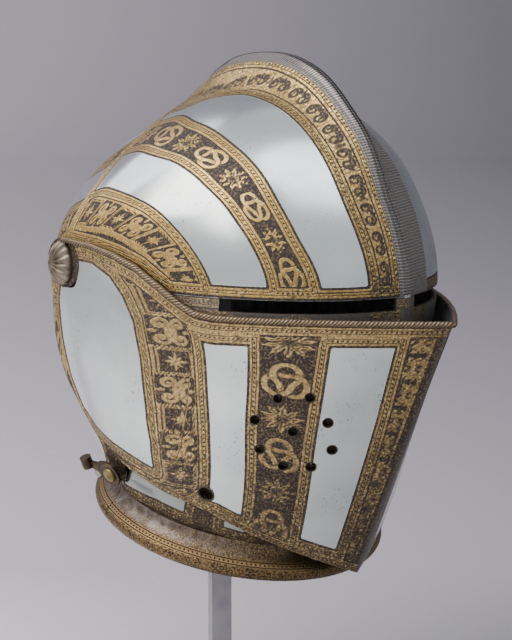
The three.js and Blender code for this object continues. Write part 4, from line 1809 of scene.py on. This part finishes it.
@dataclass
class TurnedFitting:
    """Small round fitting turned about the outward direction at a place on the neck.

    Attributes:
        name: CAD node that it stands for.
        body: Body that it rides on.
        place: Point of the side view where it stands.
        lean: Point of the side view whose outward direction it takes.
        sections: Radius and height above the plate, for each finish in turn.
    """

    name: str
    body: str
    place: tuple[float, float]
    lean: tuple[float, float]
    sections: tuple[tuple[tuple[float, float], ...], ...]

    def build(self, *materials: bpy.types.Material) -> bpy.types.Object:
        """Make the fitting from its softened sections.

        Args:
            *materials: Finish of each section.

        Returns:
            The object, riding on its body in place of the CAD node.
        """
        turn = np.linspace(0, 2 * math.pi, 33)[None, :]
        at = np.array([-float(bevor_width(*map(np.array, self.place))), *self.place])
        mesh = MeshBuilder()
        for slot, section in enumerate(self.sections):
            profile = softened(np.array(section))
            radius, height = profile[:, :1], profile[:, 1:]
            local = np.stack([radius * np.cos(turn), radius * np.sin(turn), height + 0 * turn], -1)
            mesh.grid(local @ neck_frame(*self.lean).T + at, slot)
        obj = mesh.make(self.name + "_turned", materials)
        place_piece(obj, self.body, self.name, self.name)
        return obj


@dataclass
class PivotShell:
    """Head of a pivot bolt: a dome fluted like a shell, with its ribs running out from the top.

    Attributes:
        name: CAD node that it stands for.
        side: -1 on the wearer's right, 1 on the left.
        radius: Radius of the head.
        height: Rise of the dome.
        ribs: Ribs round the dome.
        set_back: How far the top of the dome lies behind its middle.
        oval: Width of the head as a share of its height.
        seat: Distance of the head's rim from the middle plane.
        shank: Distance from the middle plane and radius at each end of the bolt.
        nut: The same for the corners of the nut.
    """

    name: str
    side: int
    radius: float = 12.6
    height: float = 6.8
    ribs: int = 13
    set_back: float = 4.5
    oval: float = 0.66
    seat: float = 101.55
    shank: tuple[tuple[float, float], ...] = ((101.6, SHANK), (85.7, SHANK))
    nut: tuple[tuple[float, float], ...] = ((91.0, 7.0), (87.8, 7.0), (87.8, 0.0))

    def build(self, material: bpy.types.Material) -> bpy.types.Object:
        """Make the dome, whose height and rim dip between ribs, with its skirt, shank and nut.

        Args:
            material: Finish of the bolt.

        Returns:
            The object, riding on the skull in place of the CAD node.
        """
        around = np.linspace(0, 2 * math.pi, 157)[None, :]
        share = np.concatenate([np.linspace(0, 1, 26), [1.0]])[:, None]
        groove = 1 - np.abs(np.cos(self.ribs * around / 2)) ** 0.7
        fade = smoothstep(share, 0.06, 0.5)
        radius = self.radius * share * (1.02 - 0.07 * groove * share)
        rise = self.height * np.sqrt(1 - 0.9 * share ** 2.2) * (1 - 0.2 * groove * fade)
        rise[-1] = 0
        mesh = MeshBuilder()
        back = self.set_back * (1 - share)
        y, z = back + self.oval * radius * np.cos(around), radius * np.sin(around)
        mesh.grid(np.stack([self.side * (self.seat + rise), y, z], -1), flip=self.side > 0)
        for levels, sides in ((self.shank, 24), (self.nut, 6)):
            x, r = np.array(levels).T[..., None]
            ring = np.linspace(0, 2 * math.pi, sides + 1)[None, :]
            points = np.stack([self.side * x + 0 * ring, r * np.cos(ring), r * np.sin(ring)], -1)
            mesh.grid(points, flip=self.side > 0)
        obj = mesh.make(self.name + "_shell", [material])
        place_piece(obj, "skull_body", self.name, self.name)
        return obj


def facing(toward: Array, right: Array, up: Array, eye: Array) -> Matrix:
    """Place of a camera or light at `eye`, in metres, whose back is turned `toward` a direction."""
    turned = np.stack([right, up, toward, eye], 1).tolist()
    return Matrix([*turned, [0, 0, 0, 1]])


class Light(Enum):
    """Soft studio lights: azimuth and elevation in degrees, distance and size in m, power in W, colour."""

    KEY = (-100, 42, 1.3, 1.0, 16.0, "fff8f0")
    FRONT = (-20, 66, 1.35, 1.0, 8.0, "f4f7ff")
    BACK = (-160, 40, 1.4, 0.9, 6.0, "f4f2f8")


@dataclass
class Studio:
    """Pale floor that turns up into a round wall, soft lights and the photograph's camera.

    Attributes:
        azimuth: Camera's turn about the vertical from the helmet's front, degrees.
        elevation: Camera's angle above the level, degrees.
        distance: Camera's distance from its target, mm.
        aim: Target to the right of and above the pivot axis in the picture plane, mm.
        lens: Focal length for the picture's height, mm.
        picture: Height of the picture in the camera, mm.
        lit: Point that the lights face, from the pivot axis, m.
        wall: Distance of the wall's foot from the stand, radius of its bend and height of its top, m.
        sweep: How far the wall runs to each side of the view, degrees.
    """

    azimuth: float = -42.5
    elevation: float = 10.0
    distance: float = 1500.0
    aim: tuple[float, float] = (35.5, -44.8)
    lens: float = 140.9
    picture: float = 36.0
    lit: tuple[float, float, float] = (0.0, -0.06, -0.02)
    wall: tuple[float, float, float] = (3.2, 1.2, 7.0)
    sweep: float = 70.0

    def axes(self) -> tuple[Array, Array, Array]:
        """Directions to the camera, right and up in the picture.

        Returns:
            Three unit vectors.
        """
        a, e = math.radians(self.azimuth), math.radians(self.elevation)
        toward = np.array([math.sin(a) * math.cos(e), -math.cos(a) * math.cos(e), math.sin(e)])
        right = np.array([math.cos(a), math.sin(a), 0.0])
        return toward, right, np.cross(toward, right)

    def camera(self) -> None:
        """Put the camera where the photograph was taken from."""
        toward, right, up = self.axes()
        eye = PIVOT + self.aim[0] * right + self.aim[1] * up + self.distance * toward
        data = bpy.data.cameras.new("camera")
        data.lens, data.sensor_fit, data.sensor_height = self.lens, "VERTICAL", self.picture
        data.clip_end = 50
        obj = bpy.data.objects.new("camera", data)
        obj.matrix_world = facing(toward, right, up, eye / 1000)
        bpy.context.collection.objects.link(obj)
        bpy.context.scene.camera = obj

    def lights(self) -> None:
        """Aim each light at the helmet."""
        for light in Light:
            azimuth, elevation, distance, size, power, colour = light.value
            toward, right, up = Studio(azimuth=azimuth, elevation=elevation).axes()
            data = bpy.data.lights.new(light.name.lower(), "AREA")
            data.size, data.energy, data.color = size, power, rgb(colour)[:3]
            obj = bpy.data.objects.new(light.name.lower(), data)
            eye = PIVOT / 1000 + np.array(self.lit) + distance * toward
            obj.matrix_world = facing(toward, right, up, eye)
            bpy.context.collection.objects.link(obj)

    def backdrop(self, near: tuple[str, str], far: tuple[str, str]) -> None:
        """Level floor all round and, behind the helmet, a wall that it curves up into.

        Args:
            near: Colours of the floor under the helmet, at the picture's left and right, painted pale on the
                lit left and dark on the right.
            far: Colours of the far floor and wall, left and right, painted greyer as light falling off.
        """
        foot, bend, top = self.wall
        turn = np.linspace(0, math.pi / 2, 13)
        wall = np.stack([np.concatenate([foot + bend * np.sin(turn), [foot + bend]]),
                         np.concatenate([bend - bend * np.cos(turn), [top]])], 1)
        floor = np.array([[0, 0], [0.8, 0], [foot + 0.02, 0]])
        mesh = MeshBuilder()
        view = math.radians(self.azimuth)
        away = math.atan2(math.cos(view), -math.sin(view))
        for section, reach in ((floor, math.pi), (wall, math.radians(self.sweep))):
            radius, height = section[:, :1], section[:, 1:]
            turn = away + np.linspace(-reach, reach, 73)[None, :]
            points = np.stack([radius * np.cos(turn), radius * np.sin(turn), height + 0 * turn], -1)
            mesh.grid(points * 1000 - PIVOT)
        # Matt paper with painted light: pale at the picture's left and dark at its right, as under a side
        # light, and painted greyer towards the wall; a plain ground that throws no glare.
        g = Graph("floor_paper_painted_light")
        place = g.add("TexCoord", out="Object")
        toward, across, _ = self.axes()
        behind, beside = (g.add("VectorMath", place, axis, out=1, operation="DOT_PRODUCT")
                          for axis in (-toward * (1, 1, 0), across))
        tones = []
        for reach, (left, right) in ((0.2, near), (0.5, far)):
            share = g.add("MapRange", beside, -reach, reach)
            tones.append(g.add("Mix", {0: share, 6: rgb(left), 7: rgb(right)}, **COLOUR))
        depth = g.add("MapRange", behind, 0.02, 0.36)
        tone = g.add("Mix", {0: depth, 6: tones[0], 7: tones[1]}, **COLOUR)
        g.add("OutputMaterial", g.add("BsdfPrincipled", {"Base Color": tone, "Roughness": 0.85}))
        mesh.make("floor", [g.material])
        scene = bpy.context.scene
        scene.world = scene.world or bpy.data.worlds.new("studio")
        scene.world.use_nodes = True
        background = scene.world.node_tree.nodes["Background"].inputs
        background[0].default_value, background[1].default_value = rgb("eceef2"), 0.9


def main() -> None:
    """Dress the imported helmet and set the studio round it."""
    logging.basicConfig(level=logging.INFO)
    # Bright grey mirrors of steel, framed by dark bands that sparkle with gold.
    etched = EtchedFinish("steel_polished_etched_gilt").build()
    # The same with paler gilding and more specks on the ground, so that the face looks more rubbed.
    face = EtchedFinish("steel_polished_etched_gilt_face", gilt="bd9e6a", ground="352c2a",
                        stipple=0.25).build()
    # Darker copy of the etched finish for the bevor: painted shade for its downward face under the ventail,
    # with only traces of gold and panels gone grey.
    worn = EtchedFinish("steel_etched_gilt_worn_painted_shade", "8f9392", "8d7048", "372c24", stain="7f8281",
                        stipple=0.3).build()
    # Dark blotched grey, as left by the hammer inside.
    inner = MetalFinish("steel_hammered_inside", "6f7274", "45413f", 0.45).build()
    # Thin brown line that sets one plate off from the next.
    edge = MetalFinish("steel_filed_edge", "5f574f", "3f372f", 0.5).build()
    # Fine slanting stripes of dull gold and shadow, like a cord.
    rope = RopedFinish("steel_roped_gilt", "97866d", "463c34", Ventail.rope_pitch, 1.0).build()
    # Brown speckled with old gold, and a rubbed grey hollow above it.
    roll = RolledFinish("steel_rolled_browned_gilt").build()
    # Warm grey-brown with soft lights on its ribs.
    shell = MetalFinish("bronze_cast_shell", "8b8073", "4a4038", 0.36).build()
    # Small bright ball that catches the light.
    filed = MetalFinish("steel_filed_bright", "b9b6b2", "7d766f", 0.24).build()
    # Nearly black brown with a dull shine.
    dark = MetalFinish("bronze_cast_dark", "5d4f40", "382f28", 0.38).build()
    # Small yellow dome that stands out from the dark hook.
    brass = MetalFinish("brass_turned_rivet", "a59566", "6a5c3c", 0.3).build()
    # Even pale grey with hardly any shine, which the eye passes over.
    paint = MetalFinish("steel_painted_grey", "a5a3a9", "97959b", 0.5, 0.1).build()
    Visor("visor", "visor_body", VISOR, 205, 196).build([etched, inner, edge])
    Skull("skull", "skull_body", SKULL, 220, 150).build([etched, inner, edge])
    Bevor("bevor", "bevor_body", BEVOR, 130, 130).build([worn, inner, edge])
    Ventail("ventail", "ventail_body", VENTAIL, 165, 225).build([face, inner, edge, rope])
    NeckRoll("neck_roll_front", "bevor_body", "bevor", True).build(roll)
    NeckRoll("neck_roll_back", "skull_body", "skull", False).build(roll)
    PivotShell("pivot_right", -1).build(shell)
    PivotShell("pivot_left", 1).build(shell)
    TurnedFitting("hook_rivet", "bevor_body", (-21.0, -121.0), (-24.0, -121.0), (
        ((2.2, 1.2), (2.2, 5.6), (7.6, 5.6), (8.0, 6.1), (7.4, 6.7), (5.6, 6.4), (4.2, 6.4)),
        ((4.6, 6.3), (4.4, 7.4), (3.2, 8.0), (1.6, 8.5), (0.0, 8.6)))).build(dark, brass)
    TurnedFitting("hook_stud", "skull_body", (0.0, -124.5), (0.0, -124.5), (
        ((1.8, 0.6), (1.8, 3), (3.2, 4), (4.2, 5.8), (4, 7.8), (2.6, 9.4), (0, 9.8)),)).build(filed)
    for node, finish in (("neck_hook", dark), ("stand", paint)):
        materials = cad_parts[node].data.materials
        materials.clear()
        materials.append(finish)
        LOG.info("%s keeps its solid", node)
    studio = Studio()
    studio.camera()
    studio.lights()
    studio.backdrop(("f4f2f2", "858387"), ("d6ced6", "928f97"))
    LOG.info("studio set round %d CAD nodes", len(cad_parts))


if __name__ == "__main__":
    main()
